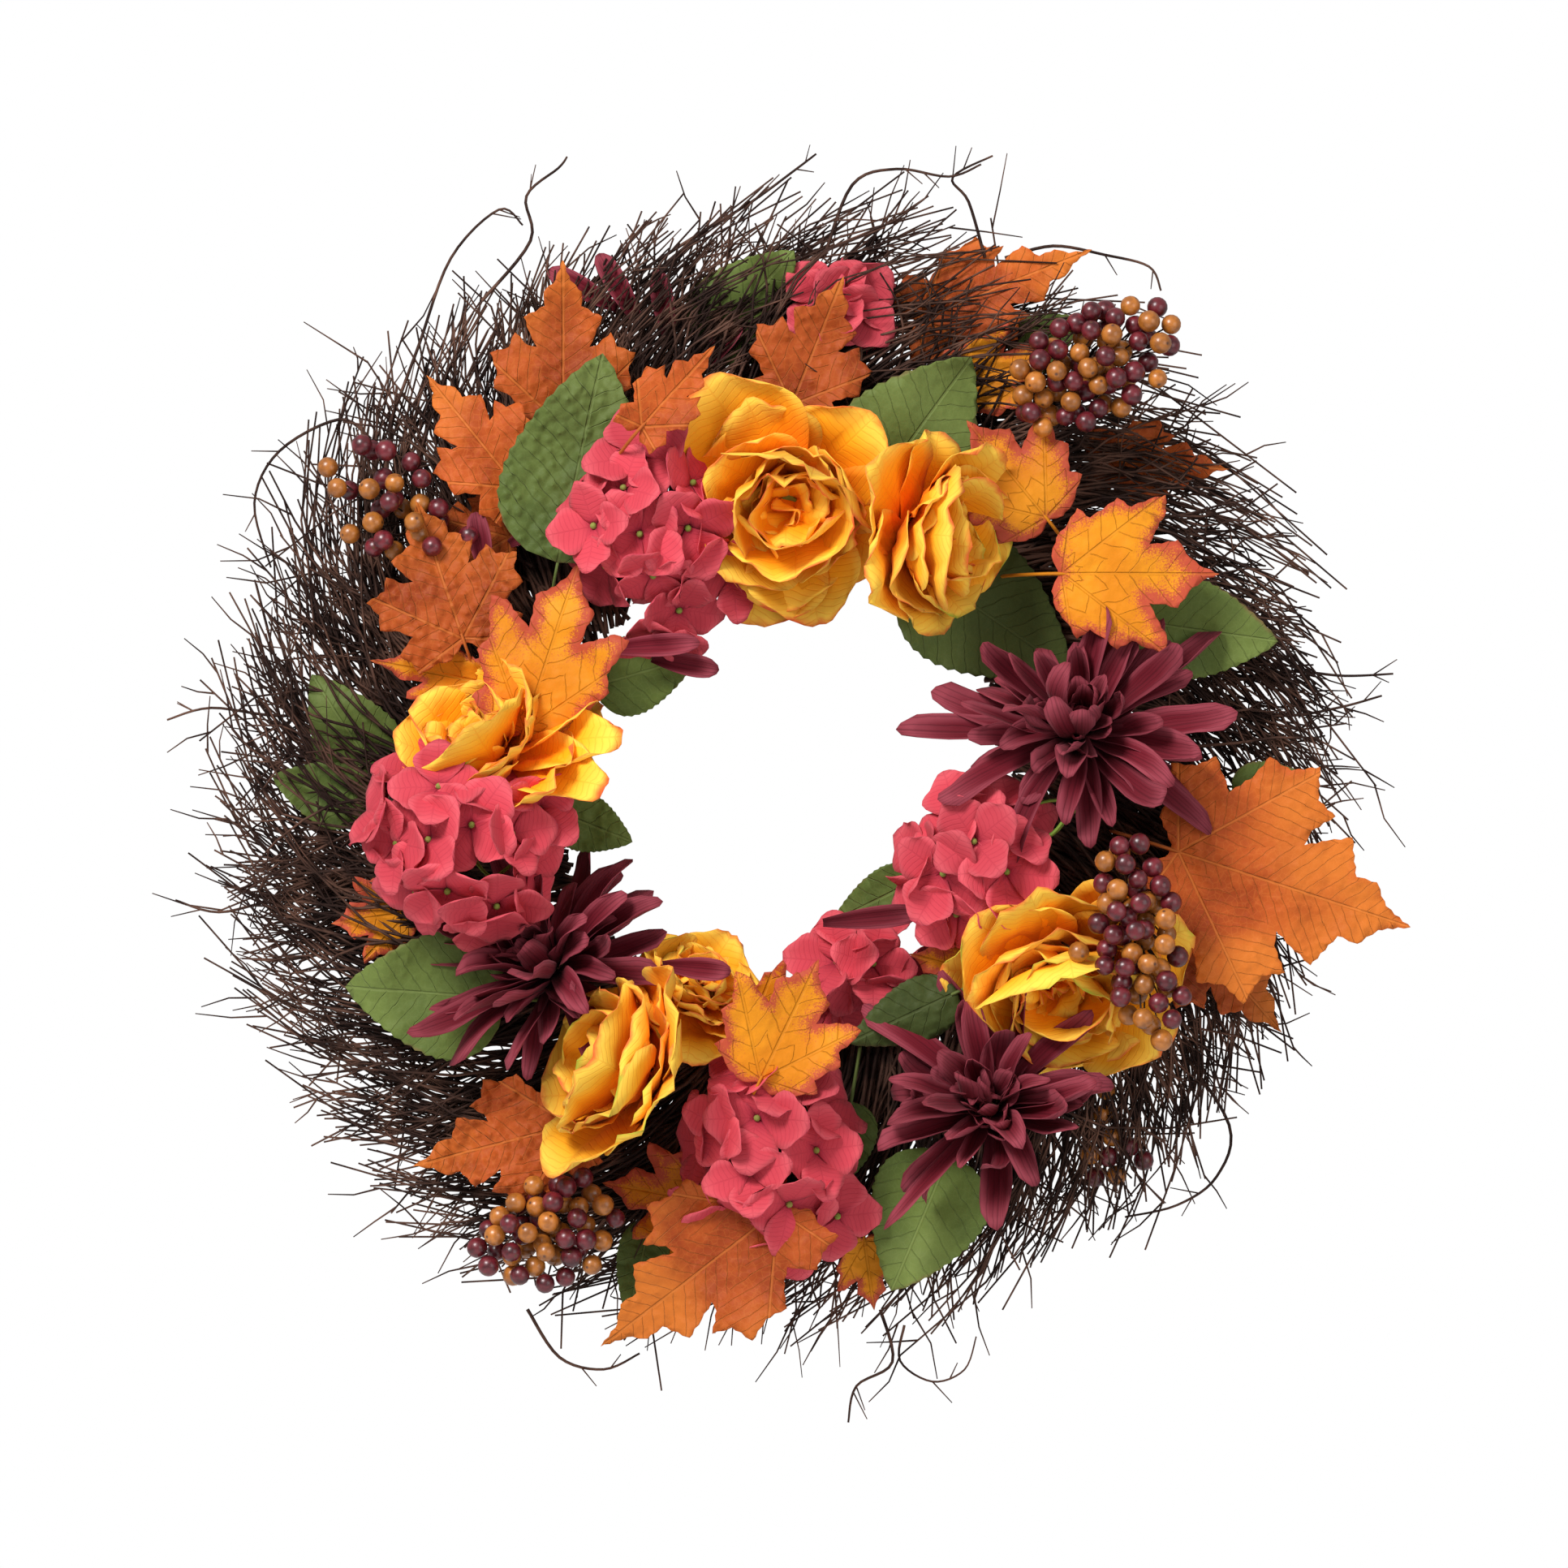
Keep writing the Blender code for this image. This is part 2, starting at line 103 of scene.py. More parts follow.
# Leaves: spacing of the net of cuts, lean, depth of the slow waves, and depth and width of the frill.
LEAF_NET = 0.0062
LEAF_LEAN = -2.0
LEAF_WAVE = 0.0095
LEAF_FRILL = 0.0030
FRILL_WIDTH = 0.012
TOOTH_SPACING = 0.0026
TOOTH_DEPTH = 0.0004

# Petals: length of a hydrangea petal, height of a hydrangea's crown over its foot, half width of
# a full mum petal, and how deep the silk crumples.
FLORET_SIZE = 0.0250
HYDRANGEA_CROWN = 0.030
MUM_HALF_WIDTH = 0.0068
PEONY_CRUMPLE = 0.0045
FLORET_CRUMPLE = 0.0016
MUM_CRUMPLE = 0.0024

# Twigs: points in each, the least and most they sweep round, and where they are rooted: reach
# from the ring's middle, then lowest and highest at the root and at the tip.
TWIG_POINTS = 8
LEAST_SWEEP, MOST_SWEEP = -4.0, 56.0
BUNDLE_ROOTS, BUNDLE_HEIGHTS = (0.112, 0.150), (0.008, 0.019, 0.002, 0.024)
SPRAY_ROOTS, SPRAY_HEIGHTS = (0.165, 0.185), (0.022, 0.028, 0.028, 0.040)
SPRAY_REACH, SPRAY_LEAD = 0.97, 18.0

# Light: strength of the soft light all round; name, place, width and power of each lamp.
SOFT_LIGHT = 0.44
LAMPS = (("key", (-1.2, -1.9, 1.6), 0.9, 74.0), ("fill", (1.6, -1.9, 0.2), 1.4, 12.0))

# Berries: depth of a spray, how close two berries may lie, and the wires under them.
SPRAY_DEPTH = 0.013
BERRY_GAP = 0.93
BERRY_WIRE = (0.0006, 0.0005, 0.00045)
BERRY_STEM = 0.0011

# Leaves on the model's nodes: node number, heading, length, width, fold, droop, twist, puckering.
GREEN_LEAVES = (
    (1, 12.0, 0.106, 0.074, 0.10, -0.05, 6.0, 0.6),
    (2, 36.0, 0.097, 0.074, 0.08, -0.08, -8.0, 0.10),
    (3, 125.0, 0.098, 0.072, -0.10, -0.08, 10.0, 0.08),
    (4, 98.0, 0.072, 0.052, 0.12, -0.05, -14.0, 0.12),
    (5, 327.0, 0.070, 0.046, 0.10, 0.05, 8.0, 0.12),
    (6, 74.0, 0.054, 0.040, 0.08, -0.10, 6.0, 0.16),
    (7, 274.0, 0.080, 0.066, 0.10, -0.10, 8.0, 0.18),
    (8, 203.0, 0.074, 0.060, 0.08, -0.08, -10.0, 0.14),
    (9, 245.0, 0.060, 0.032, -0.22, -0.10, 12.0, 0.3),
    (10, 243.0, 0.050, 0.028, 0.12, -0.10, 0.0, 0.10),
    (11, 43.0, 0.068, 0.050, 0.08, 0.02, -6.0, 0.12),
)
MAPLE_LEAVES = (
    (1, 0.0, 0.084, 0.072, 0.10, -0.06, 6.0, 0.35),
    (2, 321.0, 0.073, 0.056, 0.12, -0.05, 10.0, 0.35),
    (3, 341.0, 0.073, 0.078, 0.06, -0.08, -8.0, 0.75),
    (4, 18.0, 0.090, 0.072, 0.08, -0.12, 10.0, 0.25),
    (5, 281.0, 0.063, 0.030, 0.25, -0.06, 8.0, 0.3),
    (6, 22.0, 0.070, 0.062, 0.10, -0.06, -8.0, 0.4),
    (7, 68.0, 0.094, 0.056, 0.14, 0.05, 6.0, 0.3),
    (8, 321.0, 0.063, 0.066, 0.10, -0.10, -8.0, 0.25),
    (9, 90.0, 0.078, 0.078, 0.08, -0.08, 8.0, 0.25),
    (10, 94.0, 0.066, 0.044, 0.14, 0.02, -8.0, 0.3),
    (11, 108.0, 0.122, 0.122, 0.06, -0.06, 4.0, 0.3),
    (12, 139.0, 0.079, 0.064, 0.12, -0.06, -10.0, 0.4),
    (13, 26.0, 0.066, 0.068, 0.08, -0.08, -8.0, 0.25),
    (14, 255.0, 0.082, 0.066, 0.10, -0.12, 8.0, 0.75),
    (15, 232.0, 0.112, 0.084, 0.16, -0.16, -12.0, 0.3),
)
RUST_MAPLES = (1, 2, 3, 6, 7, 10, 11, 12, 14, 15)

# How far some flower heads and leaves were moved off their nodes, and how light some leaves are: partly the
# leaf's own tone, partly painted shade.
HEAD_SHIFT = {
    "mum_2": (-0.003, 0.000, 0.0),
    "mum_3": (0.007, 0.003, 0.0),
    "hydrangea_3": (-0.004, 0.008, 0.0),
    "peony_1": (0.0, -0.006, 0.0),
    "peony_3": (-0.006, 0.0, -0.006),
    "hydrangea_1": (0.007, 0.0, 0.0),
    "hydrangea_2": (0.002, 0.004, 0.010),
    "peony_2": (0.010, -0.004, 0.0),
    "peony_4": (-0.002, 0.009, 0.006),
    "mum_1": (-0.012, 0.004, -0.014),
    "hydrangea_5": (0.0, -0.008, 0.010),
    "hydrangea_6": (0.0, 0.0, 0.014),
}
BENT = {
    "green_leaf_1": (0.007, 0.0, 0.010),
    "green_leaf_9": (0.0, 0.0, 0.022),
    "green_leaf_3": (-0.012, -0.006, 0.0),
    "maple_leaf_4": (-0.016, 0.014, 0.010),
    "maple_leaf_9": (-0.002, -0.004, 0.022),
    "maple_leaf_11": (-0.003, 0.004, 0.020),
    "maple_leaf_13": (-0.004, 0.008, 0.018),
    "maple_leaf_15": (-0.020, 0.020, 0.034),
}
# Painted shade in part: green_leaf_9 is darkened because it lies in shade.
LEAF_TONE_AND_SHADE = {
    "green_leaf_1": 0.0, "green_leaf_2": 0.4, "green_leaf_3": -0.9, "green_leaf_4": 0.9,
    "green_leaf_5": 0.1, "green_leaf_7": 0.7, "green_leaf_8": 1.1, "green_leaf_9": -1.4,
    "maple_leaf_3": 0.0, "maple_leaf_10": 0.2, "maple_leaf_11": 0.8, "maple_leaf_12": -0.2,
    "maple_leaf_14": 0.4,
}

# Printed leaf cloth: where the rim colour and the tip colour set in, spacing of the side veins,
# quilting, grain of the print, and how strongly the veins are coloured.
LEAF_PRINTS = {
    "green": ((0.98, 1.35), (0.02, 0.10), 0.0085, 0.9, 0.2, 0.30),
    "rust": ((0.85, 1.35), (0.035, 0.085), 0.0065, 0.9, 0.5, 0.42),
    "gold": ((0.36, 0.80), (0.03, 0.10), 0.0085, 0.6, 0.9, 0.22),
}

# Small leaves with no node of their own: kind, clock, reach and height, then from the heading on.
SMALL_LEAVES = (
    ("gold", 22.0, 0.212, 0.024, 73.0, 0.060, 0.045, 0.12, 0.0, 0.0, 0.3),
    ("rust", 338.0, 0.186, 0.098, 42.0, 0.054, 0.036, 0.30, -0.1, 20.0, 0.3),
    ("gold", 189.0, 0.210, 0.040, 280.0, 0.058, 0.048, 0.12, -0.1, 0.0, 0.3),
    ("gold", 170.0, 0.229, 0.030, 172.0, 0.036, 0.034, 0.12, 0.0, 0.0, 0.3),
    ("rust", 312.0, 0.182, 0.036, 285.0, 0.045, 0.040, 0.12, 0.0, 0.0, 0.4),
    ("gold", 251.0, 0.196, 0.022, 262.0, 0.040, 0.044, 0.12, 0.0, 0.0, 0.3),
    ("gold", 134.0, 0.134, 0.052, 285.0, 0.036, 0.034, 0.20, -0.1, 0.0, 0.3),
    ("gold", 187.0, 0.112, 0.060, 60.0, 0.036, 0.030, 0.30, -0.1, 0.0, 0.3),
    ("gold", 193.0, 0.232, 0.026, 150.0, 0.040, 0.032, 0.12, 0.0, 0.0, 0.3),
    ("green", 263.0, 0.113, 0.034, 112.0, 0.040, 0.030, 0.12, -0.1, 0.0, 0.4),
    ("green", 267.0, 0.207, 0.022, 287.0, 0.050, 0.034, 0.12, 0.0, 0.0, 0.3),
    ("green", 197.0, 0.226, 0.030, 193.0, 0.050, 0.026, 0.12, 0.0, 0.0, 0.3),
    ("green", 28.0, 0.240, 0.020, 60.0, 0.040, 0.030, 0.12, 0.0, 0.0, 0.3),
    ("green", 168.0, 0.160, 0.040, 190.0, 0.046, 0.032, 0.12, -0.1, 0.0, 0.4),
    ("green", 91.0, 0.222, 0.030, 80.0, 0.040, 0.026, 0.12, 0.0, 0.0, 0.3),
    ("green", 98.0, 0.236, 0.030, 120.0, 0.044, 0.026, 0.12, 0.0, 0.0, 0.3),
)

# Half outlines, from the tip round the right-hand side to the stalk, one unit long and wide.
MAPLE_HALF = (
    (0.000, 1.000), (0.050, 0.880), (0.130, 0.815), (0.125, 0.730), (0.270, 0.665), (0.225, 0.570),
    (0.180, 0.490), (0.240, 0.500), (0.330, 0.575), (0.370, 0.490), (0.500, 0.455), (0.450, 0.350),
    (0.475, 0.250), (0.385, 0.215), (0.290, 0.140), (0.350, 0.095), (0.410, 0.045), (0.350, -0.020),
    (0.330, -0.120), (0.215, -0.085), (0.110, -0.095), (0.020, -0.015),
)
BROAD_HALF = (
    (0.000, 1.000), (0.040, 0.900), (0.105, 0.815), (0.215, 0.740), (0.190, 0.640), (0.185, 0.560),
    (0.270, 0.600), (0.390, 0.670), (0.500, 0.665), (0.470, 0.560), (0.420, 0.450), (0.475, 0.360),
    (0.400, 0.270), (0.350, 0.190), (0.410, 0.110), (0.310, 0.050), (0.225, -0.020), (0.110, -0.050),
    (0.020, -0.010),
)
MAPLE_HUB = 0.02
# Outline, main veins and the borders between lobes, in degrees from the middle vein.
CUTS = {
    "rust": (MAPLE_HALF, (0.0, 47.0, 108.0), (21.0, 72.0)),
    "gold": (BROAD_HALF, (0.0, 38.0, 82.0), (18.0, 60.0)),
}

# Peonies: node number, tilt and the clock heading they lean to, size of the open flower, share of the size
# that stands above its foot, and petals bent out one by one: turn, length, width, (opening, curl, hook).
PEONIES = (
    (1, 18.0, 190.0, 0.055, 0.62,
     ((225.0, 1.30, 1.35, (92.0, -6.0, 0.0)), (160.0, 1.02, 1.55, (62.0, -58.0, 0.0)),
      (262.0, 0.98, 1.05, (66.0, -76.0, 0.0)), (352.0, 1.18, 1.15, (88.0, -10.0, 8.0)),
      (24.0, 1.14, 1.05, (84.0, -16.0, 10.0)))),
    (2, 56.0, 95.0, 0.054, 0.50,
     ((180.0, 1.05, 1.30, (64.0, -50.0, 0.0)), (60.0, 1.10, 1.10, (70.0, -24.0, 14.0)))),
    (3, 50.0, 330.0, 0.056, 0.58,
     ((216.0, 1.35, 0.70, (88.0, 2.0, 16.0)), (240.0, 1.30, 0.74, (84.0, 4.0, 20.0)),
      (262.0, 1.15, 0.80, (80.0, 0.0, 10.0)), (190.0, 1.02, 1.20, (62.0, -60.0, 0.0)))),
    (4, 58.0, 297.0, 0.060, 0.60,
     ((180.0, 1.05, 1.35, (58.0, -52.0, 0.0)), (230.0, 1.0, 1.1, (66.0, -40.0, 10.0)))),
    (5, 50.0, 30.0, 0.038, 0.66, ()),
    (6, 30.0, 170.0, 0.059, 0.58,
     ((175.0, 1.00, 1.60, (60.0, -60.0, 0.0)), (220.0, 1.10, 1.20, (84.0, -20.0, 10.0)),
      (60.0, 1.10, 1.20, (72.0, -36.0, 0.0)), (110.0, 1.15, 1.20, (86.0, -20.0, 12.0)))),
)
# Hydrangeas: number, tilt, heading, half width, half length, florets, how far the head is sunk,
# and how far its florets wrap under.
HYDRANGEAS = (
    (1, 12.0, 150.0, 0.046, 0.048, 13, 0.0, 0.35),
    (2, 15.0, 230.0, 0.056, 0.044, 14, -0.012, 0.35),
    (3, 15.0, 180.0, 0.046, 0.060, 15, 0.0, 0.35),
    (4, 10.0, 290.0, 0.044, 0.038, 10, 0.0, 0.35),
    (5, 12.0, 336.0, 0.036, 0.032, 8, 0.018, 0.35),
    (6, 0.0, 0.0, 0.032, 0.022, 5, 0.0, -0.35),
)
# Mums: number, tilt, heading, size, how flat it opens, share that stands up, petals bent one by one.
MUMS = (
    (1, 44.0, 326.0, 0.070, 0.88, 0.56, ()),
    (2, 36.0, 350.0, 0.072, 0.98, 0.46, ((82.0, 1.22, (84.0, 6.0, 0.0)), (292.0, 1.2, (86.0, 0.0, 0.0)))),
    (3, 32.0, 335.0, 0.068, 0.95, 0.48, ()),
)
# Berry sprays: number, heading, half width, half length, berries.
BERRY_SPRAYS = (
    (1, 306.0, 0.030, 0.044, 32),
    (2, 60.0, 0.026, 0.048, 62),
    (3, 170.0, 0.020, 0.052, 56),
    (4, 70.0, 0.026, 0.036, 52),
)

# Berries that hang free of the sprays: place, and whether they are ochre.
LOOSE_BERRIES = (
    (0.1424, -0.0812, 0.109, 1), (0.1604, -0.1524, 0.019, 1), (0.1588, -0.1648, 0.017, 1),
    (0.1634, -0.1756, 0.018, 1), (0.1526, -0.1844, 0.018, 1), (0.1616, -0.1856, 0.019, 0),
    (0.1656, -0.1950, 0.017, 1), (0.1716, -0.1806, 0.018, 0), (0.1792, -0.1876, 0.016, 0),
    (0.1550, -0.1960, 0.015, 0),
)

# Single mum petals that hang free of the heads: place, heading, length.
LOOSE_PETALS = (
    (-0.090, 0.066, 0.062, 86.0, 0.048), (-0.066, 0.062, 0.056, 100.0, 0.034),
    (0.018, -0.068, 0.070, 84.0, 0.048), (-0.060, -0.088, 0.088, 95.0, 0.034),
    (0.116, -0.018, 0.060, 205.0, 0.050), (0.108, -0.002, 0.056, 212.0, 0.046),
    (0.124, -0.030, 0.058, 196.0, 0.040), (-0.146, 0.100, 0.050, 350.0, 0.034),
    (-0.136, 0.118, 0.046, 60.0, 0.030), (-0.082, 0.236, 0.017, 300.0, 0.040),
    (-0.070, 0.226, 0.017, 330.0, 0.044), (-0.056, 0.216, 0.017, 350.0, 0.040),
    (-0.068, 0.210, 0.017, 250.0, 0.036), (-0.044, 0.204, 0.017, 40.0, 0.034),
)

# Single florets: place, heading, tilt.
LOOSE_FLORETS = (
    (-0.052, 0.086, 0.062, 150.0, 35.0), (-0.026, 0.102, 0.060, 110.0, 40.0),
    (-0.062, 0.070, 0.050, 190.0, 50.0), (0.026, -0.212, 0.056, 150.0, 20.0),
    (0.118, -0.056, 0.066, 120.0, 60.0), (-0.120, -0.012, 0.082, 110.0, 15.0),
)

# Green stems between the heads: height, then points of the flat layout.
GREEN_STEMS = (
    (0.082, ((0.116, -0.012), (0.130, -0.008), (0.142, -0.009), (0.154, -0.012))),
    (0.080, ((0.112, -0.038), (0.122, -0.030), (0.134, -0.022), (0.140, -0.011))),
    (0.084, ((0.120, -0.030), (0.131, -0.024), (0.138, -0.016), (0.146, -0.010))),
    (0.066, ((-0.154, -0.034), (-0.146, -0.044), (-0.138, -0.048), (-0.130, -0.050))),
    (0.066, ((-0.150, -0.050), (-0.142, -0.046), (-0.134, -0.040))),
)

# How far each rear bundle reaches, and the front sprays: node, clock at the root, spread, handfuls.
BUNDLE_REACH = (0.98, 0.97, 0.97, 0.98, 1.0, 0.99, 1.02, 1.03)
SPRAYS = (
    ("front_twigs_left", 228.0, 30.0, 4),
    ("front_twigs_top", 290.0, 32.0, 5),
    ("front_twigs_upper_right", 330.0, 32.0, 5),
    ("front_twigs_right", 12.0, 28.0, 4),
)

# Loose wisps of vine: points of the flat layout, and the height of each wisp.
WISPS = (
    (0.020, ((-0.196, 0.180), (-0.182, 0.218), (-0.166, 0.262), (-0.142, 0.286), (-0.130, 0.278))),
    (0.024, ((-0.150, 0.240), (-0.126, 0.270), (-0.128, 0.292), (-0.112, 0.306), (-0.108, 0.312))),
    (0.014, ((-0.206, 0.172), (-0.222, 0.182), (-0.252, 0.166), (-0.264, 0.140), (-0.256, 0.108))),
    (0.018, ((-0.080, 0.250), (-0.042, 0.274), (-0.016, 0.290), (0.006, 0.306), (0.016, 0.314))),
    (0.022, ((0.020, 0.262), (0.034, 0.298), (0.056, 0.306), (0.082, 0.302), (0.098, 0.308))),
    (0.020, ((0.100, 0.262), (0.092, 0.290), (0.084, 0.302), (0.104, 0.313))),
    (0.016, ((0.110, 0.262), (0.134, 0.268), (0.160, 0.264), (0.182, 0.258), (0.188, 0.246))),
    (0.014, ((-0.176, -0.160), (-0.200, -0.166), (-0.222, -0.158), (-0.240, -0.150))),
    (0.012, ((0.060, -0.270), (0.058, -0.288), (0.074, -0.298), (0.090, -0.292), (0.096, -0.276))),
    (0.016, ((0.048, -0.262), (0.054, -0.288), (0.036, -0.300), (0.032, -0.318))),
    (0.012, ((0.196, -0.130), (0.222, -0.170), (0.216, -0.196), (0.196, -0.210), (0.170, -0.216))),
    (0.016, ((-0.128, -0.262), (-0.112, -0.286), (-0.090, -0.292), (-0.072, -0.284))),
    (0.012, ((-0.210, 0.036), (-0.252, 0.034), (-0.286, 0.038), (-0.308, 0.032))),
    (0.012, ((0.210, 0.050), (0.250, 0.056), (0.280, 0.054), (0.304, 0.055))),
    (0.018, ((0.210, 0.036), (0.250, 0.034), (0.276, 0.038), (0.298, 0.044))),
    (0.012, ((-0.200, -0.060), (-0.250, -0.058), (-0.282, -0.064), (-0.304, -0.058))),
)


def shade(code):
    """A colour written as six hex digits, as linear values."""
    values = [int(code[at:at + 2], 16) / 255 for at in (0, 2, 4)]
    return tuple(v / 12.92 if v <= 0.04045 else ((v + 0.055) / 1.055) ** 2.4 for v in values)


def colour(name, code):
    return FloatVectorProperty(name=name, description=name, subtype="COLOR", size=3, min=0, max=1,
                               default=shade(code))


def length(name, description, default):
    return FloatProperty(name=name, description=description, default=default, min=0.0,
                         subtype="DISTANCE", unit="LENGTH", precision=5)


def amount(name, description, default):
    return IntProperty(name=name, description=description, default=default, min=2)


# ---- layout ----


def spot(clock, radius, height):
    """A place of the flat layout, by clock angle and reach."""
    angle = math.radians(clock)
    return Vector((radius * math.sin(angle), radius * math.cos(angle), height))


def leaning(heading, tilt):
    """Rotation that turns local +Y to a clock heading and leans local +Z towards it."""
    return Euler((-math.radians(tilt), 0.0, -math.radians(heading)), "XYZ").to_matrix()


def carry(points, matrix):
    """Points as an array, moved by a 4x4 matrix."""
    grid = np.array(matrix)
    return points @ grid[:3, :3].T + grid[:3, 3]


def in_world(paths):
    """Paths of the flat layout, stood up against the door."""
    return [(carry(np.array(points), LAYOUT), radii) for points, radii in paths]


def stood(place, heading, tilt):
    """Matrix that sets a small piece at a place of the flat layout."""
    return LAYOUT @ Matrix.Translation(place) @ leaning(heading, tilt).to_4x4()


def flat_points(node):
    """The vertices of a model node, in the flat layout."""
    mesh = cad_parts[node].data
    places = np.empty(len(mesh.vertices) * 3)
    mesh.vertices.foreach_get("co", places)
    return carry(places.reshape(-1, 3), LAYOUT_INVERSE)


def farthest(node, direction):
    """The vertex of a node that lies farthest along a direction of the flat layout."""
    places = flat_points(node)
    return Vector(places[np.argmax(places @ np.array(direction))])


def smooth_path(corners, steps):
    """A smooth line through the corners."""
    points = []
    for index in range(len(corners) - 1):
        before = corners[max(index - 1, 0)]
        start, end = corners[index], corners[index + 1]
        after = corners[min(index + 2, len(corners) - 1)]
        for step in range(steps):
            t = step / steps
            curve = (2 * before - 5 * start + 4 * end - after) * t * t
            points.append(0.5 * (2 * start + (end - before) * t + curve
                                 + (3 * start - before - 3 * end + after) * t ** 3))
    points.append(corners[-1])
    return points


# ---- making meshes ----


def primitive_arrays(make, **settings):
    """A primitive's points and faces as arrays; the primitive itself is removed.

    Each face starts at its lowest corner and the faces are sorted, so that every run gives the same mesh.
    """
    bpy.ops.object.select_all(action="DESELECT")
    make(**settings)
    shape = bpy.context.active_object
    mesh = shape.data
    points = np.array([vert.co for vert in mesh.vertices])
    faces = []
    for face in mesh.polygons:
        corners = list(face.vertices)
        first = corners.index(min(corners))
        faces.append(tuple(corners[first:] + corners[:first]))
    bpy.data.objects.remove(shape)
    bpy.data.meshes.remove(mesh)
    return points, sorted(faces)


def petal_blank(columns, rows):
    """A grid to shape petals from: across from -1 to 1, along from 0 to 1."""
    points, faces = primitive_arrays(bpy.ops.mesh.primitive_grid_add, x_subdivisions=columns,
                                     y_subdivisions=rows, size=1.0)
    return points[:, 0] * 2.0, points[:, 1] + 0.5, faces


def pressed(depths):
    """Keeps soft pieces off the door behind, and inside the depth of the wreath in front."""
    behind = BACK_LIMIT + BACK_GIVE * np.tanh((depths - BACK_LIMIT) / BACK_GIVE)
    depths = np.where(depths > BACK_LIMIT, behind, depths)
    before = FRONT_LIMIT - FRONT_GIVE * np.tanh((FRONT_LIMIT - depths) / FRONT_GIVE)
    return np.where(depths < FRONT_LIMIT, before, depths)


class Gathering:
    """Collects many shaped copies into one mesh."""

    def __init__(self):
        self.points, self.faces, self.veins, self.kind = [], [], [], []
        self.edge, self.throat, self.tone = [], [], []
        self.count = 0

    def add(self, points, faces, veins, edge, throat, tone=0.5, kind=0):
        """veins holds a pair for each point, or for each corner of each face."""
        self.faces.extend([tuple(index + self.count for index in face) for face in faces])
        corners = [index for face in faces for index in face]
        by_corner = len(veins) == len(corners) and len(veins) != len(points)
        self.veins.append(veins if by_corner else veins[corners])
        self.points.append(points)
        self.edge.append(np.broadcast_to(edge, len(points)))
        self.throat.append(np.broadcast_to(throat, len(points)))
        self.tone.append(np.full(len(points), tone))
        self.kind.extend([kind] * len(faces))
        self.count += len(points)

    def move(self, pose):
        self.points = [carry(points, pose) for points in self.points]

    def piece(self, name, materials, thickness=0.0):
        """One mesh of all that was gathered, with cloth of the given thickness."""
        mesh = bpy.data.meshes.new(name)
        points = np.concatenate(self.points)
        points[:, 1] = pressed(points[:, 1])
        mesh.from_pydata(points.tolist(), [], self.faces)
        layer = mesh.uv_layers.new(name="veins")
        layer.data.foreach_set("uv", np.concatenate(self.veins).astype(np.float32).ravel())
        for title, values in (("edge", self.edge), ("throat", self.throat), ("tone", self.tone)):
            field = mesh.attributes.new(title, "FLOAT", "POINT")
            field.data.foreach_set("value", np.concatenate(values).astype(np.float32))
        for material in materials:
            mesh.materials.append(material)
        mesh.polygons.foreach_set("material_index", self.kind)
        mesh.polygons.foreach_set("use_smooth", [True] * len(mesh.polygons))
        piece = bpy.data.objects.new(name, mesh)
        bpy.context.scene.collection.objects.link(piece)
        if thickness:
            thicken(piece, thickness)
        return piece


def choose(piece):
    """Makes a piece the only one selected, and the active one."""
    bpy.ops.object.select_all(action="DESELECT")
    piece.select_set(True)
    bpy.context.view_layer.objects.active = piece


def thicken(piece, thickness):
    """Gives cloth its thickness, half to either side."""
    choose(piece)
    shell = piece.modifiers.new("cloth", "SOLIDIFY")
    shell.thickness = thickness
    shell.offset = 0.0
    bpy.ops.object.modifier_apply(modifier=shell.name)


def wires(name, paths, material):
    """Tapered round wires or twigs: each path is a list of points and a list of radii."""
    curve = bpy.data.curves.new(name, "CURVE")
    curve.dimensions = "3D"
    curve.bevel_depth = 1.0
    curve.bevel_resolution = 0
    curve.use_fill_caps = True
    for points, radii in paths:
        spline = curve.splines.new("POLY")
        spline.points.add(len(points) - 1)
        spline.points.foreach_set("co", np.column_stack([points, np.ones(len(points))]).ravel())
        spline.points.foreach_set("radius", radii)
    piece = bpy.data.objects.new(name, curve)
    bpy.context.scene.collection.objects.link(piece)
    choose(piece)
    bpy.ops.object.convert(target="MESH")
    piece.data.materials.clear()
    piece.data.materials.append(material)
    piece.data.polygons.foreach_set("use_smooth", [True] * len(piece.data.polygons))
    return piece


def settle(piece, slot, *nodes):
    """Hands a finished piece to the model: what it rides on and what it stands for; its finish, slot, is not
    used.
    """
    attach(piece, BODY)
    if nodes:
        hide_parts(*nodes)


# ---- materials ----


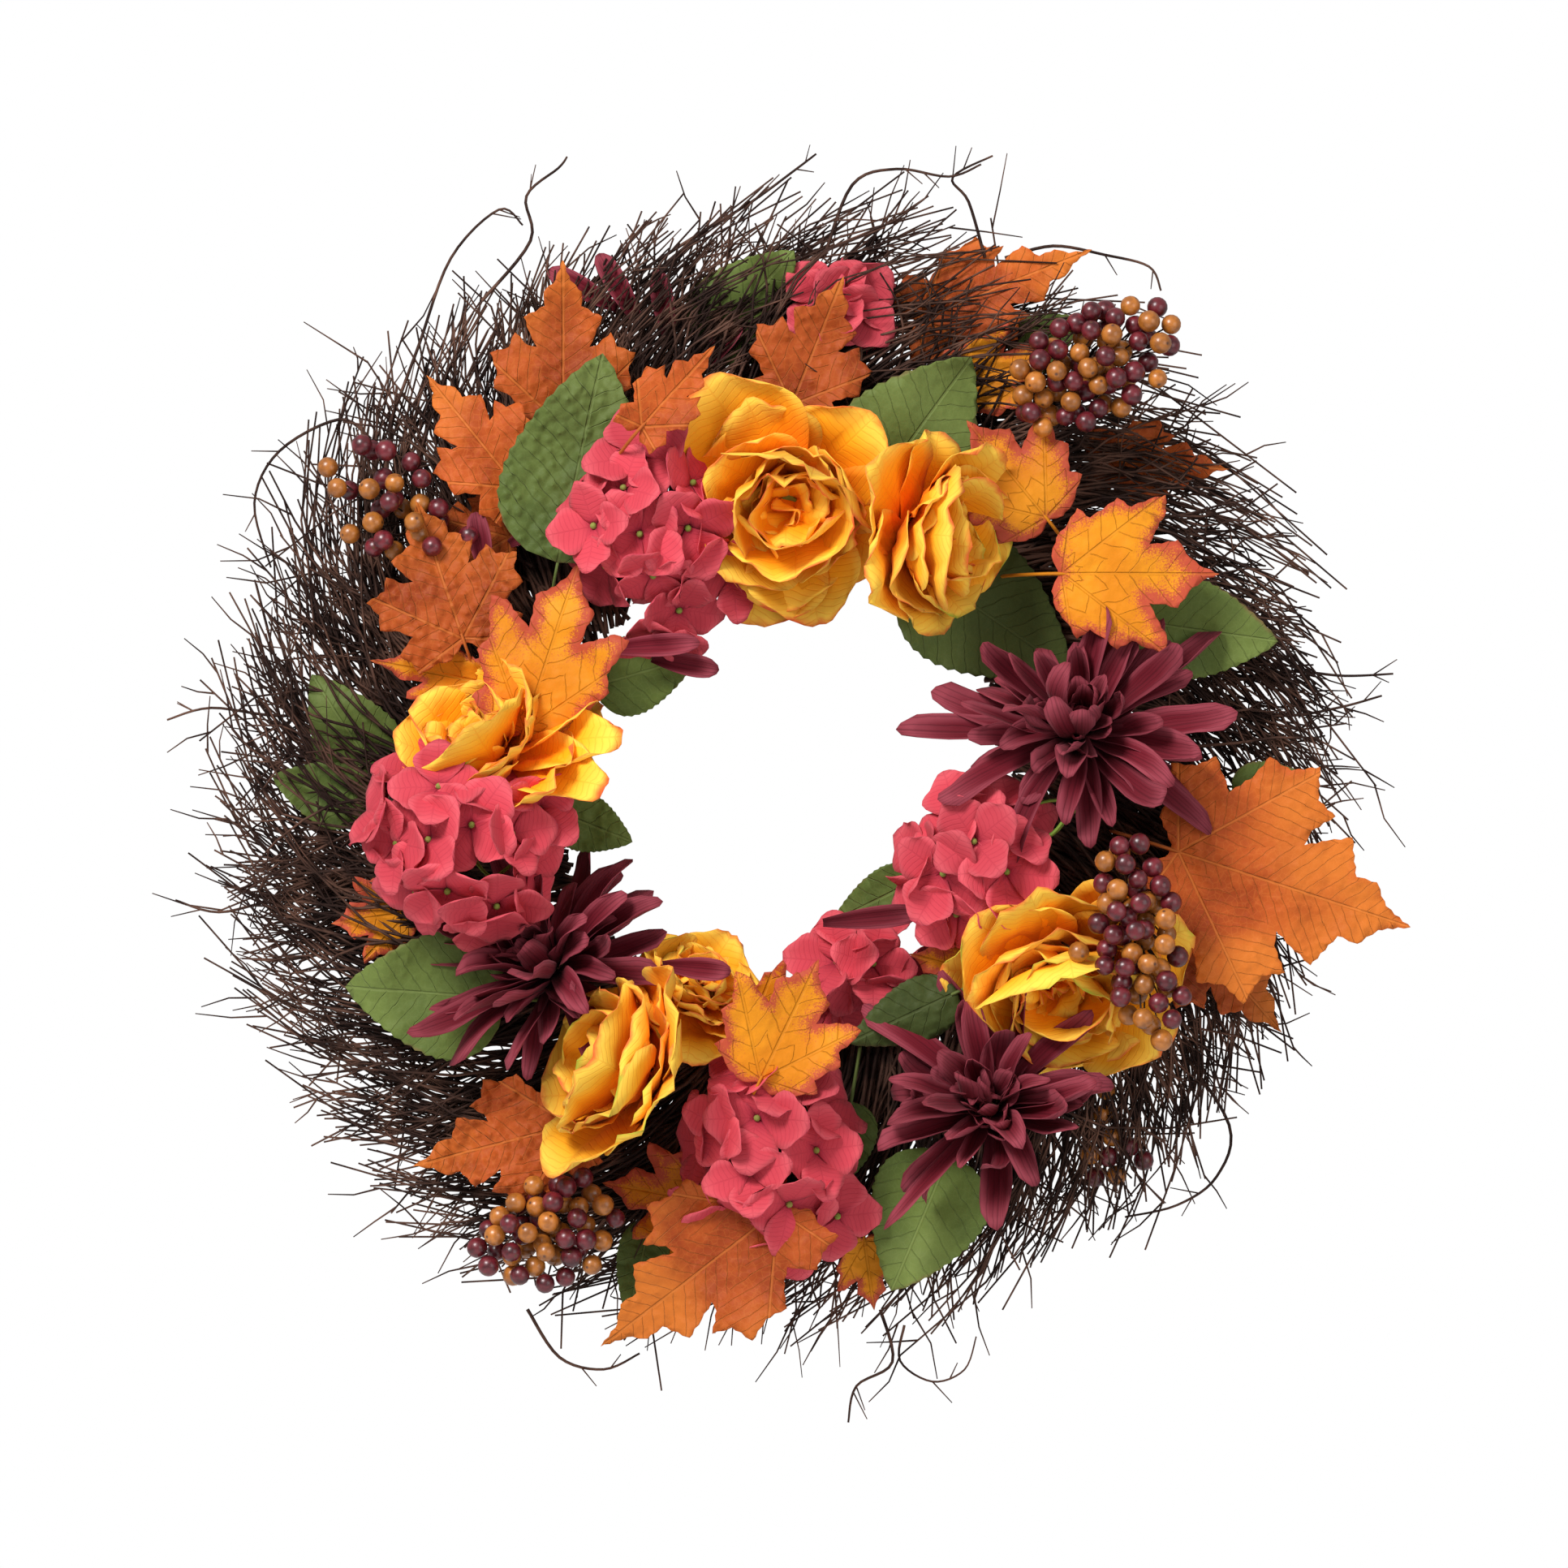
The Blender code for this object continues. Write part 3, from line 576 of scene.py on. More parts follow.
class Finish:
    """A node material, built up a step at a time."""

    def __init__(self, name, roughness, specular=0.5, **shader_values):
        self.material = bpy.data.materials.new(name)
        self.material.use_nodes = True
        self.tree = self.material.node_tree
        self.shader = self.tree.nodes["Principled BSDF"]
        self.shader.inputs["Roughness"].default_value = roughness
        self.shader.inputs["Specular IOR Level"].default_value = specular
        for socket, value in shader_values.items():
            self.shader.inputs[socket.replace("_", " ").title()].default_value = value

    def node(self, kind, settings=None, **sockets):
        made = self.tree.nodes.new(kind)
        for name, value in (settings or {}).items():
            setattr(made, name, value)
        for name, value in sockets.items():
            self.feed(made.inputs[name.replace("_", " ")], value)
        return made

    def feed(self, socket, value):
        if isinstance(value, bpy.types.NodeSocket):
            self.tree.links.new(value, socket)
        elif isinstance(value, tuple) and len(value) == 3 and socket.type == "RGBA":
            socket.default_value = (*value, 1.0)
        else:
            socket.default_value = value

    def sum(self, operation, first, second=0.0):
        made = self.node("ShaderNodeMath", {"operation": operation})
        self.feed(made.inputs[0], first)
        self.feed(made.inputs[1], second)
        return made.outputs[0]

    def fade(self, value, low, high):
        """0 below low, 1 above high, smooth between; low above high turns it round."""
        made = self.node("ShaderNodeMapRange", {"interpolation_type": "SMOOTHSTEP"}, Value=value)
        made.inputs["From Min"].default_value = low
        made.inputs["From Max"].default_value = high
        return made.outputs[0]

    def blend(self, share, first, second):
        made = self.node("ShaderNodeMix", {"data_type": "RGBA"})
        self.feed(made.inputs["Factor"], share)
        self.feed(made.inputs["A"], first)
        self.feed(made.inputs["B"], second)
        return made.outputs["Result"]

    def field(self, name):
        return self.node("ShaderNodeAttribute", {"attribute_name": name}).outputs["Fac"]

    def cloud(self, scale, detail=2.0):
        place = self.node("ShaderNodeTexCoord").outputs["Object"]
        return self.node("ShaderNodeTexNoise", Vector=place, Scale=scale, Detail=detail).outputs["Fac"]

    def drift(self, scale, detail, swing):
        """A cloud that swings to both sides of nought."""
        return self.sum("MULTIPLY", self.sum("SUBTRACT", self.cloud(scale, detail), 0.5), swing)

    def bump(self, height, strength, distance):
        made = self.node("ShaderNodeBump", Height=height, Strength=strength, Distance=distance)
        before = self.shader.inputs["Normal"]
        if before.links:
            self.tree.links.new(before.links[0].from_socket, made.inputs["Normal"])
        self.tree.links.new(made.outputs[0], before)

    def vein_lines(self, spacing, slant, main, side):
        """Main vein and its side branches, from the vein coordinates of the piece."""
        place = self.node("ShaderNodeUVMap", {"uv_map": "veins"}).outputs[0]
        split = self.node("ShaderNodeSeparateXYZ", Vector=place)
        along, away = split.outputs[0], self.sum("ABSOLUTE", split.outputs[1])
        wander = self.sum("MULTIPLY", self.cloud(90.0), spacing * 0.7)
        back = self.sum("ADD", self.sum("MULTIPLY", away, slant), wander)
        turns = self.sum("DIVIDE", self.sum("SUBTRACT", along, back), spacing)
        from_line = self.sum("ABSOLUTE", self.sum("SUBTRACT", self.sum("FRACT", turns), 0.5))
        branch = self.fade(from_line, side, 0.0)
        trunk = self.fade(away, main, main * 0.3)
        return trunk, branch, along

    def finish(self, base):
        self.feed(self.shader.inputs["Base Color"], base)
        return self.material


def toned(finish, base, spread):
    """Makes each petal, leaf or berry a little lighter or darker than the next."""
    light = finish.sum("MULTIPLY_ADD", finish.field("tone"), spread)
    light.node.inputs[2].default_value = 1.0 - spread / 2
    return finish.node("ShaderNodeHueSaturation", Value=light, Color=base).outputs[0]


def petal_silk(name, face, rim, deep, pale, stain, veins, spacing=0.0035, tint=None):
    """Dyed petal cloth: stain is where the rim colour sets in, tint stands in for it in places; deep is
    painted shade at the petal bases, and the vein colour.
    """
    finish = Finish(name, 0.72, 0.15, sheen_weight=0.03, sheen_roughness=0.5)
    patches = finish.drift(70.0, 3.0, 0.7)
    # Lighter towards the tips and rims: partly the dye, partly a painted highlight on the rims.
    base = finish.blend(finish.fade(finish.field("edge"), 0.10, 0.80), face, pale)
    rim_share = finish.fade(finish.sum("ADD", finish.field("edge"), patches), *stain)
    if tint:
        rim = finish.blend(finish.fade(finish.cloud(22.0, 1.0), 0.60, 0.68), rim, tint)
    base = finish.blend(rim_share, base, rim)
    # Painted shade: the deep colour darkens the base of each petal, where the heart of the flower lies in
    # shade.
    base = finish.blend(finish.fade(finish.field("throat"), 0.15, 1.0), base, deep)
    trunk, branch, _ = finish.vein_lines(spacing, 0.35, 0.0006, 0.16)
    lines = finish.sum("MAXIMUM", trunk, branch)
    base = finish.blend(finish.sum("MULTIPLY", lines, veins), base, deep)
    finish.bump(finish.cloud(2600.0, 1.0), 0.10, 0.0003)
    finish.bump(lines, 0.35, -0.0004)
    return finish.finish(toned(finish, base, 0.30))


def leaf_silk(name, face, patch, rim, vein, far, rim_reach, far_reach, spacing, puckered, grain, vein_share):
    """Printed leaf cloth: blotches, paler tips, an inked rim, veins and quilting between them."""
    finish = Finish(name, 0.62, 0.22, sheen_weight=0.02, sheen_roughness=0.5)
    trunk, branch, along = finish.vein_lines(spacing, 0.75, 0.0010, 0.050)
    main_lines = finish.sum("MAXIMUM", trunk, branch)
    base = finish.blend(finish.fade(finish.cloud(42.0, 5.0), 0.40, 0.62), face, patch)
    towards_tip = finish.sum("ADD", along, finish.drift(24.0, 3.0, 0.10))
    base = finish.blend(finish.fade(towards_tip, *far_reach), base, far)
    inked = finish.sum("ADD", finish.field("edge"), finish.drift(30.0, 3.0, 1.5))
    inked = finish.sum("ADD", inked, finish.drift(1300.0, 1.0, grain))
    base = finish.blend(finish.fade(inked, *rim_reach), base, rim)
    place = finish.node("ShaderNodeTexCoord").outputs["Object"]
    net = finish.node("ShaderNodeTexVoronoi", {"feature": "DISTANCE_TO_EDGE"}, Vector=place, Scale=300.0)
    fine = finish.sum("MULTIPLY", finish.fade(net.outputs["Distance"], 0.08, 0.0), 0.45)
    lines = finish.sum("MAXIMUM", main_lines, fine)
    base = finish.blend(finish.sum("MULTIPLY", lines, vein_share), base, vein)
    finish.bump(finish.cloud(2200.0, 1.0), 0.15, 0.0003)
    finish.bump(finish.cloud(160.0, 3.0), 0.5, 0.0012)
    finish.bump(main_lines, 0.7, -0.0009)
    quilt = finish.node("ShaderNodeTexVoronoi", {"feature": "SMOOTH_F1"}, Vector=place, Scale=200.0)
    height = finish.sum("MULTIPLY", quilt.outputs["Distance"], finish.field("throat"))
    finish.bump(height, puckered, -0.0052)
    return finish.finish(toned(finish, base, 0.30))


def bark(name, dark, light):
    finish = Finish(name, 0.82, 0.25)
    base = finish.blend(finish.fade(finish.cloud(55.0, 4.0), 0.40, 0.72), dark, light)
    finish.bump(finish.cloud(900.0, 3.0), 0.5, 0.0006)
    return finish.finish(base)


def berry_skin(name, skin, dark, spot_colour):
    finish = Finish(name, 0.34, coat_weight=0.3, coat_roughness=0.25)
    base = finish.blend(finish.fade(finish.cloud(220.0, 3.0), 0.35, 0.7), skin, dark)
    base = toned(finish, base, 0.4)
    base = finish.blend(finish.fade(finish.field("edge"), 0.95, 0.99), base, spot_colour)
    finish.bump(finish.cloud(700.0, 2.0), 0.15, 0.0006)
    return finish.finish(base)


def coated_wire(name, base_colour, worn, metallic, roughness):
    finish = Finish(name, roughness, metallic=metallic)
    base = finish.blend(finish.fade(finish.cloud(300.0, 3.0), 0.55, 0.75), base_colour, worn)
    finish.bump(finish.cloud(1500.0, 2.0), 0.2, 0.0002)
    return finish.finish(base)


# ---- settings ----


class TwigSettings(bpy.types.PropertyGroup):
    handfuls: amount("Handfuls", "Handfuls of twigs in a rear bundle", 12)
    in_hand: amount("Twigs in a handful", "Twigs in each rear handful", 28)
    in_spray: amount("Twigs in a spray", "Twigs in each front handful", 8)
    butt_radius: length("Butt radius", "Radius of a twig at its thick end", 0.0011)
    tip_radius: length("Tip radius", "Radius of a twig at its tip", 0.00045)
    bark_dark: colour("Dark bark", "2A1812")
    bark_light: colour("Light bark", "6A4A3C")


class LeafSettings(bpy.types.PropertyGroup):
    cloth: length("Leaf cloth", "Thickness of the printed leaf cloth", 0.0004)
    green: colour("Leaf green", "5E6E30")
    green_patch: colour("Leaf green patches", "54642C")
    green_far: colour("Leaf green tips", "6C7B3C")
    green_rim: colour("Leaf green rim", "74603A")
    green_vein: colour("Leaf green veins", "808E50")
    rust: colour("Rust", "B8521A")
    rust_patch: colour("Rust patches", "9C3E10")
    rust_far: colour("Rust leaf tips", "D07024")
    rust_rim: colour("Rust leaf rims", "BE5420")
    rust_vein: colour("Rust leaf veins", "D67C34")
    gold: colour("Gold", "E38E12")
    gold_patch: colour("Gold patches", "D8800C")
    gold_far: colour("Gold leaf tips", "EA981A")
    gold_rim: colour("Gold leaf rims", "B84A32")
    gold_vein: colour("Gold leaf veins", "C07A1C")


class FlowerSettings(bpy.types.PropertyGroup):
    cloth: length("Petal cloth", "Thickness of the petal cloth", 0.0003)
    peony: colour("Peony petals", "FDAE14")
    peony_rim: colour("Peony rims", "EC6A34")
    # Painted shade at the base of each peony petal; the veins take it too.
    peony_deep: colour("Peony hearts", "F27E00")
    # Partly the dye, partly a painted highlight on the petal rims.
    peony_pale: colour("Peony petal edges", "FFCE4C")
    peony_tint: colour("Peony green tints", "A8B838")
    hydrangea: colour("Hydrangea petals", "C9424F")
    hydrangea_rim: colour("Hydrangea rims", "C03850")
    # Painted shade at the base of each floret petal; the veins take it too.
    hydrangea_deep: colour("Hydrangea hearts", "961C36")
    hydrangea_pale: colour("Hydrangea petal edges", "D45660")
    mum: colour("Mum petals", "6A1523")
    mum_rim: colour("Mum rims", "76242E")
    # Painted shade at the base of each mum petal; the veins take it too.
    mum_deep: colour("Mum hearts", "34060F")
    # Partly the dye, partly a painted highlight on the petal rims.
    mum_pale: colour("Mum petal edges", "903C48")
    stem: colour("Flower stems", "7C9C3C")
    eye: colour("Flower eyes", "8A8A44")


class BerrySettings(bpy.types.PropertyGroup):
    diameter: length("Berry diameter", "Diameter of one berry", 0.0105)
    wine: colour("Wine berries", "701E28")
    wine_dark: colour("Dark wine", "3E0C14")
    ochre: colour("Ochre berries", "BC722A")
    ochre_dark: colour("Dark ochre", "93561F")
    spot: colour("Berry spots", "5A3420")


class StageSettings(bpy.types.PropertyGroup):
    camera_distance: length("Camera distance", "From the lens to the wreath", 3.0)
    view_width: length("View width", "Width of the view at the wreath", 0.7728)
    floor_drop: length("Floor drop", "From the middle of the ring down to the floor", 0.62)
    floor_radius: length("Floor radius", "Half the width of the floor", 1.3)


def settings():
    return bpy.context.scene.wreath


def shades(group, *names):
    """Colours of a group of settings, by their names."""
    return [tuple(getattr(group, name)) for name in names]


def petal_shades(kind):
    return shades(settings().flowers, kind, f"{kind}_rim", f"{kind}_deep", f"{kind}_pale")


def stem_bark(name):
    return bark(name, *shades(settings().flowers, "stem", "eye"))


# ---- leaves ----


def full_outline(half, wide, long):
    right = [(x * wide, y * long) for x, y in half]
    left = [(-x, y) for x, y in reversed(right) if x > 0]
    return right + left


def ovate_half(teeth):
    """Half of a broad pointed leaf with a toothed rim, from the tip to the stalk."""
    half = []
    for step in range(teeth * 2 + 1):
        share = 1.0 - step / (teeth * 2)
        bulge = math.sin(math.pi * share ** 0.62) ** 0.80 if 0 < share < 1 else 0.0
        notch = 0.965 if step % 2 else 1.0
        half.append((0.5 * bulge * notch, share + (0.008 if step % 2 == 0 else 0.0) * (share < 1)))
    return half


def serrated(outline, step, depth):
    """An outline with small saw teeth along its longer sides."""
    toothed = []
    for index, (x, y) in enumerate(outline):
        after = outline[(index + 1) % len(outline)]
        start, end = Vector((x, y)), Vector(after)
        toothed.append((x, y))
        count = int((end - start).length / step)
        outward = Vector((start.y - end.y, end.x - start.x)).normalized()
        for tooth in range(1, count):
            place = start.lerp(end, (tooth + 0.25) / count) + outward * (depth if tooth % 2 else -depth)
            toothed.append((place.x, place.y))
    return toothed


def leaf_blank(outline, spacing, hub=None, angles=()):
    """A flat leaf cut from its outline and crossed by a net of cuts, so that it can be bent."""
    bm = bmesh.new()
    rim = [bm.verts.new((x, y, 0.0)) for x, y in outline]
    bm.faces.new(rim)
    bmesh.ops.triangulate(bm, faces=bm.faces[:])
    reach = max(abs(value) for point in outline for value in point)
    count = int(reach / spacing) + 1
    cuts = [((step * spacing, 0, 0), (1, 0, 0)) for step in range(-count, count + 1)]
    cuts += [((0, step * spacing, 0), (0, 1, 0)) for step in range(-count, count + 1)]
    for angle in angles:
        turn = math.radians(angle)
        cuts += [((0, hub, 0), (side * math.cos(turn), -math.sin(turn), 0)) for side in (1, -1)]
    for place, normal in cuts:
        everything = bm.verts[:] + bm.edges[:] + bm.faces[:]
        bmesh.ops.bisect_plane(bm, geom=everything, plane_co=place, plane_no=normal, dist=1e-6)
    bmesh.ops.remove_doubles(bm, verts=bm.verts[:], dist=2e-4)
    bmesh.ops.recalc_face_normals(bm, faces=bm.faces[:])
    if sum(face.normal.z for face in bm.faces) < 0:
        bmesh.ops.reverse_faces(bm, faces=bm.faces[:])
    bm.verts.index_update()
    points = np.array([vert.co for vert in bm.verts])
    faces = [tuple(vert.index for vert in face.verts) for face in bm.faces]
    bm.free()
    return points, faces


def rim_distance(points, outline):
    """How far each point lies from the outline."""
    ring = np.array(outline)
    nearest = np.full(len(points), 1.0)
    for start, end in zip(ring, np.roll(ring, -1, axis=0)):
        line = end - start
        share = np.clip(((points[:, :2] - start) @ line) / (line @ line), 0, 1)
        gap = np.linalg.norm(points[:, :2] - start - share[:, None] * line, axis=1)
        nearest = np.minimum(nearest, gap)
    return nearest


def maple_vein_coordinates(points, faces, hub, veins, borders):
    """For each face corner, how far along the nearest main vein it lies, and how far off it."""
    corners = []
    for face in faces:
        places = points[list(face)][:, :2] - (0.0, hub)
        middle = places.mean(axis=0)
        angle = math.degrees(math.atan2(abs(middle[0]), middle[1]))
        lobe = sum(angle > border for border in borders)
        turn = math.radians(veins[lobe]) * (1 if middle[0] >= 0 else -1)
        along = places @ (math.sin(turn), math.cos(turn))
        away = places @ (math.cos(turn), -math.sin(turn))
        corners.append(np.column_stack([along, away]))
    return np.concatenate(corners)


def leaf_shape(kind, wide, long):
    """A flat leaf of one kind: its points, faces, vein coordinates and outline."""
    if kind == "green":
        outline = full_outline(ovate_half(15), wide, long)
        points, faces = leaf_blank(outline, LEAF_NET)
        return points, faces, points[:, :2][:, ::-1].copy(), outline
    half, main_veins, borders = CUTS[kind]
    outline = serrated(full_outline(half, wide, long), TOOTH_SPACING, TOOTH_DEPTH)
    hub = MAPLE_HUB * long
    points, faces = leaf_blank(outline, LEAF_NET, hub, main_veins + borders)
    return points, faces, maple_vein_coordinates(points, faces, hub, main_veins, borders), outline


def leaf_piece(name, kind, plan, base, seed, material, tone=None):
    """One leaf, bent and set with its base at a place of the flat layout."""
    heading, long, wide, fold, droop, twist, pucker = plan
    rng = random.Random(seed)
    points, faces, veins, outline = leaf_shape(kind, wide, long)
    gap = rim_distance(points, outline)
    x, y = points[:, 0], points[:, 1]
    share = np.clip(y / long, 0, 1)
    shift = rng.uniform(0, 50)
    waves = np.array([noise.noise(Vector((a * 28 + shift, b * 28, shift))) for a, b in zip(x, y)])
    frill = np.array([noise.noise(Vector((a * 75, b * 75 + shift, 3.0))) for a, b in zip(x, y)])
    turn = math.radians(twist) * share
    height = fold * np.abs(x) + droop * long * share ** 2 + LEAF_WAVE * waves * (0.3 + share)
    height = height + LEAF_FRILL * frill * np.exp(-gap / FRILL_WIDTH)
    bent = np.column_stack([x * np.cos(turn), y, height + x * np.sin(turn)])
    edge = np.exp(-gap / (0.10 * wide))
    pose = Matrix.Translation(base) @ leaning(heading, LEAF_LEAN).to_4x4()
    gathering = Gathering()
    gathering.add(carry(carry(bent, pose), LAYOUT), faces, veins, edge, pucker,
                  rng.uniform(0.0, 1.0) if tone is None else tone)
    return gathering.piece(name, [material], settings().leaves.cloth)


def node_base(node, plan):
    """Where a leaf's base lies, from the tip of its node and how far it was bent forward."""
    heading, long = plan[0], plan[1]
    along = leaning(heading, LEAF_LEAN) @ Vector((0.0, 1.0, 0.0))
    return farthest(node, along) - along * long + Vector(BENT.get(node, (0.0, 0.0, 0.0)))


def stalk(name, base, heading, material):
    """A leaf stalk that runs in under the flowers and down among the twigs."""
    inward = leaning(heading, 0.0) @ Vector((0.0, -1.0, 0.0))
    foot = base + inward * STALK_REACH
    foot.z = min(ROOT_HEIGHT, base.z)
    corners = [base - inward * 0.004, base + inward * 0.006 - Vector((0, 0, 0.001)),
               (base + inward * 0.020).lerp(foot, 0.4), foot]
    points = smooth_path(corners, 3)
    return wires(name, in_world([(points, [STALK_RADIUS] * len(points))]), material)


def flower_stem(name, pose, radius, material):
    """A stem that runs from the foot of a flower down among the twigs, with a cup under the bloom."""
    foot = LAYOUT_INVERSE @ (pose @ Vector((0.0, 0.0, 0.006)))
    below = LAYOUT_INVERSE @ (pose @ Vector((0.0, 0.0, -STEM_REACH)))
    root = below.copy()
    root.z = ROOT_HEIGHT
    points = smooth_path([foot, foot.lerp(below, 0.5), below.lerp(root, 0.5), root], 3)
    widths = [radius * 2.6, radius * 1.9] + [radius] * (len(points) - 2)
    return wires(name, in_world([(points, widths)]), material)


# ---- petals ----

# Petal outlines: share of the full breadth at the base, where it is broadest, breadth left at the
# tip, and how far the corners of the tip fall back.
ROUND_PETAL = (0.24, 0.62, 0.64, 0.20)
FLORET_PETAL = (0.10, 0.60, 0.66, 0.24)
STRAP_PETAL = (0.34, 0.70, 0.80, 0.12)


def bend_petal(blank, shape, size, bend, cup, ruffle, rng, pleats=2.0, crumple=0.0, roll=0.0, sway=0.0):
    """A petal that leaves its flower's axis at bend[0] degrees, bends on by bend[1], hooks by bend[2]."""
    across, along = blank[0], blank[1]
    base, peak, tip, crown = shape
    long, half_width = size
    swell = np.sin(np.clip(along / peak, 0, 1) * math.pi / 2)
    fall = np.clip((along - peak) / (1 - peak), 0, 1) ** 2
    breadth = (base + (1 - base) * swell) * (1 - (1 - tip) * fall)
    phase = rng.uniform(0, 6.3)
    scallop = 0.25 * ruffle * np.sin(across * pleats * 2.3 * math.pi + phase * 2) * along ** 5
    share = along * (1 - crown * np.abs(across) ** 2.2 * along) + scallop
    steps = np.linspace(0, 1.2, 49)
    slope = np.radians(bend[0] + bend[1] * steps + bend[2] * steps ** 4)
    out = np.interp(share, steps, np.cumsum(np.sin(slope)) * steps[1] * long)
    rise = np.interp(share, steps, np.cumsum(np.cos(slope)) * steps[1] * long)
    lean = np.interp(share, steps, slope)
    x = across * half_width * breadth
    lift = cup * half_width * breadth * across ** 2 + x * math.tan(math.radians(roll)) * along
    lift = lift + ruffle * long * along ** 2 * np.sin(across * pleats * math.pi + phase)
    if crumple:
        shift = rng.uniform(0, 90)
        lift = lift + crumple * np.array([noise.noise(Vector((a * 130 + shift, b * 3.2, shift)))
                                          for a, b in zip(x, along)])
    aside = x + sway * long * along ** 2
    return np.column_stack([aside, out - np.cos(lean) * lift, rise + np.sin(lean) * lift])


def spun(points, angle):
    """Points turned about a flower's axis."""
    turn = math.radians(angle)
    x = points[:, 0] * math.cos(turn) - points[:, 1] * math.sin(turn)
    y = points[:, 0] * math.sin(turn) + points[:, 1] * math.cos(turn)
    return np.column_stack([x, y, points[:, 2]])


def head_pose(node, tilt, heading, crown):
    """Matrix that sets a flower's crown on its node's crown, leaning as planned."""
    rotation = leaning(heading, tilt)
    axis = leaning(heading, min(tilt, 20.0)) @ Vector((0.0, 0.0, 1.0))
    top = farthest(node, axis)
    top += Vector(HEAD_SHIFT.get(node, (0.0, 0.0, 0.0))) - Vector((0.0, 0.0, HEAD_SINK))
    return LAYOUT @ Matrix.Translation(top) @ rotation.to_4x4() @ Matrix.Translation((0, 0, -crown))


def petal_fields(blank, long, half_width):
    """Vein coordinates of a petal, and how near each point lies to its rim."""
    across, along = blank[0], blank[1]
    veins = np.column_stack([along * long, across * half_width])
    edge = np.maximum(along ** 4, np.abs(across) ** 4 * (0.35 + 0.65 * along))
    return veins, edge


PEONY_WHORLS = (
    # petals, length, width, opening, curl, hook, cup, ruffle; lengths are shares of the flower's size
    (5, 1.04, 1.20, 87.0, -20.0, 20.0, 0.18, 0.034),
    (5, 0.96, 1.18, 72.0, -46.0, 16.0, 0.38, 0.036),
    (4, 0.82, 1.04, 56.0, -54.0, 12.0, 0.50, 0.042),
    (5, 0.62, 0.72, 48.0, -30.0, 36.0, 0.45, 0.080),
    (6, 0.50, 0.46, 38.0, -14.0, 52.0, 0.35, 0.130),
    (6, 0.38, 0.34, 20.0, 0.0, 60.0, 0.30, 0.160),
)


def peony_petals(rng, extra):
    """Every petal of a peony: turn, length, width, bend, cup, ruffle, drop and shift aside."""
    for level, (count, long, wide, opening, curl, hook, cup, ruffle) in enumerate(PEONY_WHORLS):
        start = rng.uniform(0, 360)
        loose = 10 + 4 * level
        aside = max(0, level - 2) * 0.045
        drop = 0.10 * (len(PEONY_WHORLS) - level) / len(PEONY_WHORLS)
        for index in range(count):
            angle = start + 360.0 * index / count + rng.uniform(-loose, loose)
            bend = (opening + rng.uniform(-loose, loose), curl + rng.uniform(-20, 16),
                    hook + rng.uniform(-26, 26))
            yield (angle, long * rng.uniform(0.86, 1.12), wide * rng.uniform(0.86, 1.14), bend, cup, ruffle,
                   drop, (rng.uniform(-aside, aside), rng.uniform(-aside, aside)))
    for angle, long, wide, bend in extra:
        yield angle, long, wide, bend, 0.42, 0.03, 0.04, (0, 0)


def make_peony(size, seed, extra):
    """Petals in loose whorls round the heart, then any that are listed as bent out."""
    rng = random.Random(seed)
    blank = petal_blank(10, 11)
    gathering = Gathering()
    for angle, long, wide, bend, cup, ruffle, drop, aside in list(peony_petals(rng, extra)):
        reach, half = size * long, size * wide * 0.5
        petal = bend_petal(blank, ROUND_PETAL, (reach, half), bend, cup * rng.uniform(0.6, 1.3),
                           ruffle * rng.uniform(0.5, 1.5), rng, rng.choice((1.0, 1.5, 2.0)), PEONY_CRUMPLE)
        petal[:, 2] -= size * drop
        veins, edge = petal_fields(blank, reach, half)
        # Painted shade: the petal base and the inner whorls take the deep colour, where the heart lies in
        # shade.
        throat = np.clip(1.15 - blank[1] * 1.15 + 2.0 * max(0.0, 0.04 - drop), 0, 1)
        petal = spun(petal, angle) + (aside[0] * size, aside[1] * size, 0.0)
        gathering.add(petal, blank[2], veins, edge, throat, rng.uniform(0, 1))
    return gathering


def floret_eye():
    """A small bead for the middle of each floret."""
    return primitive_arrays(bpy.ops.mesh.primitive_uv_sphere_add, segments=8, ring_count=5, radius=1.0)


def make_floret(gathering, pose, size, rng, blank, eye):
    """Four crossed petals and an eye."""
    spin, tone, flop = rng.uniform(0, 90), rng.uniform(0, 1), rng.uniform(-8, 8)
    for index in range(4):
        reach = size * rng.uniform(0.92, 1.08)
        half = size * 0.50 * rng.uniform(0.92, 1.10)
        bend = (72 + flop + rng.uniform(-9, 9), rng.uniform(-8, 16), rng.uniform(-14, 22))
        petal = bend_petal(blank, FLORET_PETAL, (reach, half), bend, rng.uniform(-0.12, 0.30),
                           rng.uniform(0.01, 0.05), rng, rng.choice((1.0, 1.5)), FLORET_CRUMPLE)
        petal[:, 2] += 0.0008 * (index % 2)
        veins, edge = petal_fields(blank, reach, half)
        # Painted shade at the base of each floret petal, between the crossed petals.
        throat = np.clip(0.75 - blank[1] * 1.8, 0, 1)
        petal = spun(petal, spin + 90 * index + rng.uniform(-8, 8))
        petal_tone = min(1.0, max(0.0, tone + rng.uniform(-0.22, 0.22)))
        gathering.add(carry(petal, pose), blank[2], veins, edge, throat, petal_tone)
    bead = eye[0] * 0.0016 + (0, 0, 0.0018)
    gathering.add(carry(bead, pose), eye[1], bead[:, :2], 0.0, 0.0, 0.5, 1)


def dome_spots(count, rng, deep):
    """Evenly spread outward directions over a dome, from its crown down past its rim."""
    for index in range(count):
        rise = 1.0 - (1.0 + deep) * (index + 0.35) / count
        angle = index * 2.399963 + rng.uniform(-0.2, 0.2)
        ring = math.sqrt(max(0.0, 1 - rise * rise))
        yield Vector((ring * math.cos(angle), ring * math.sin(angle), rise))


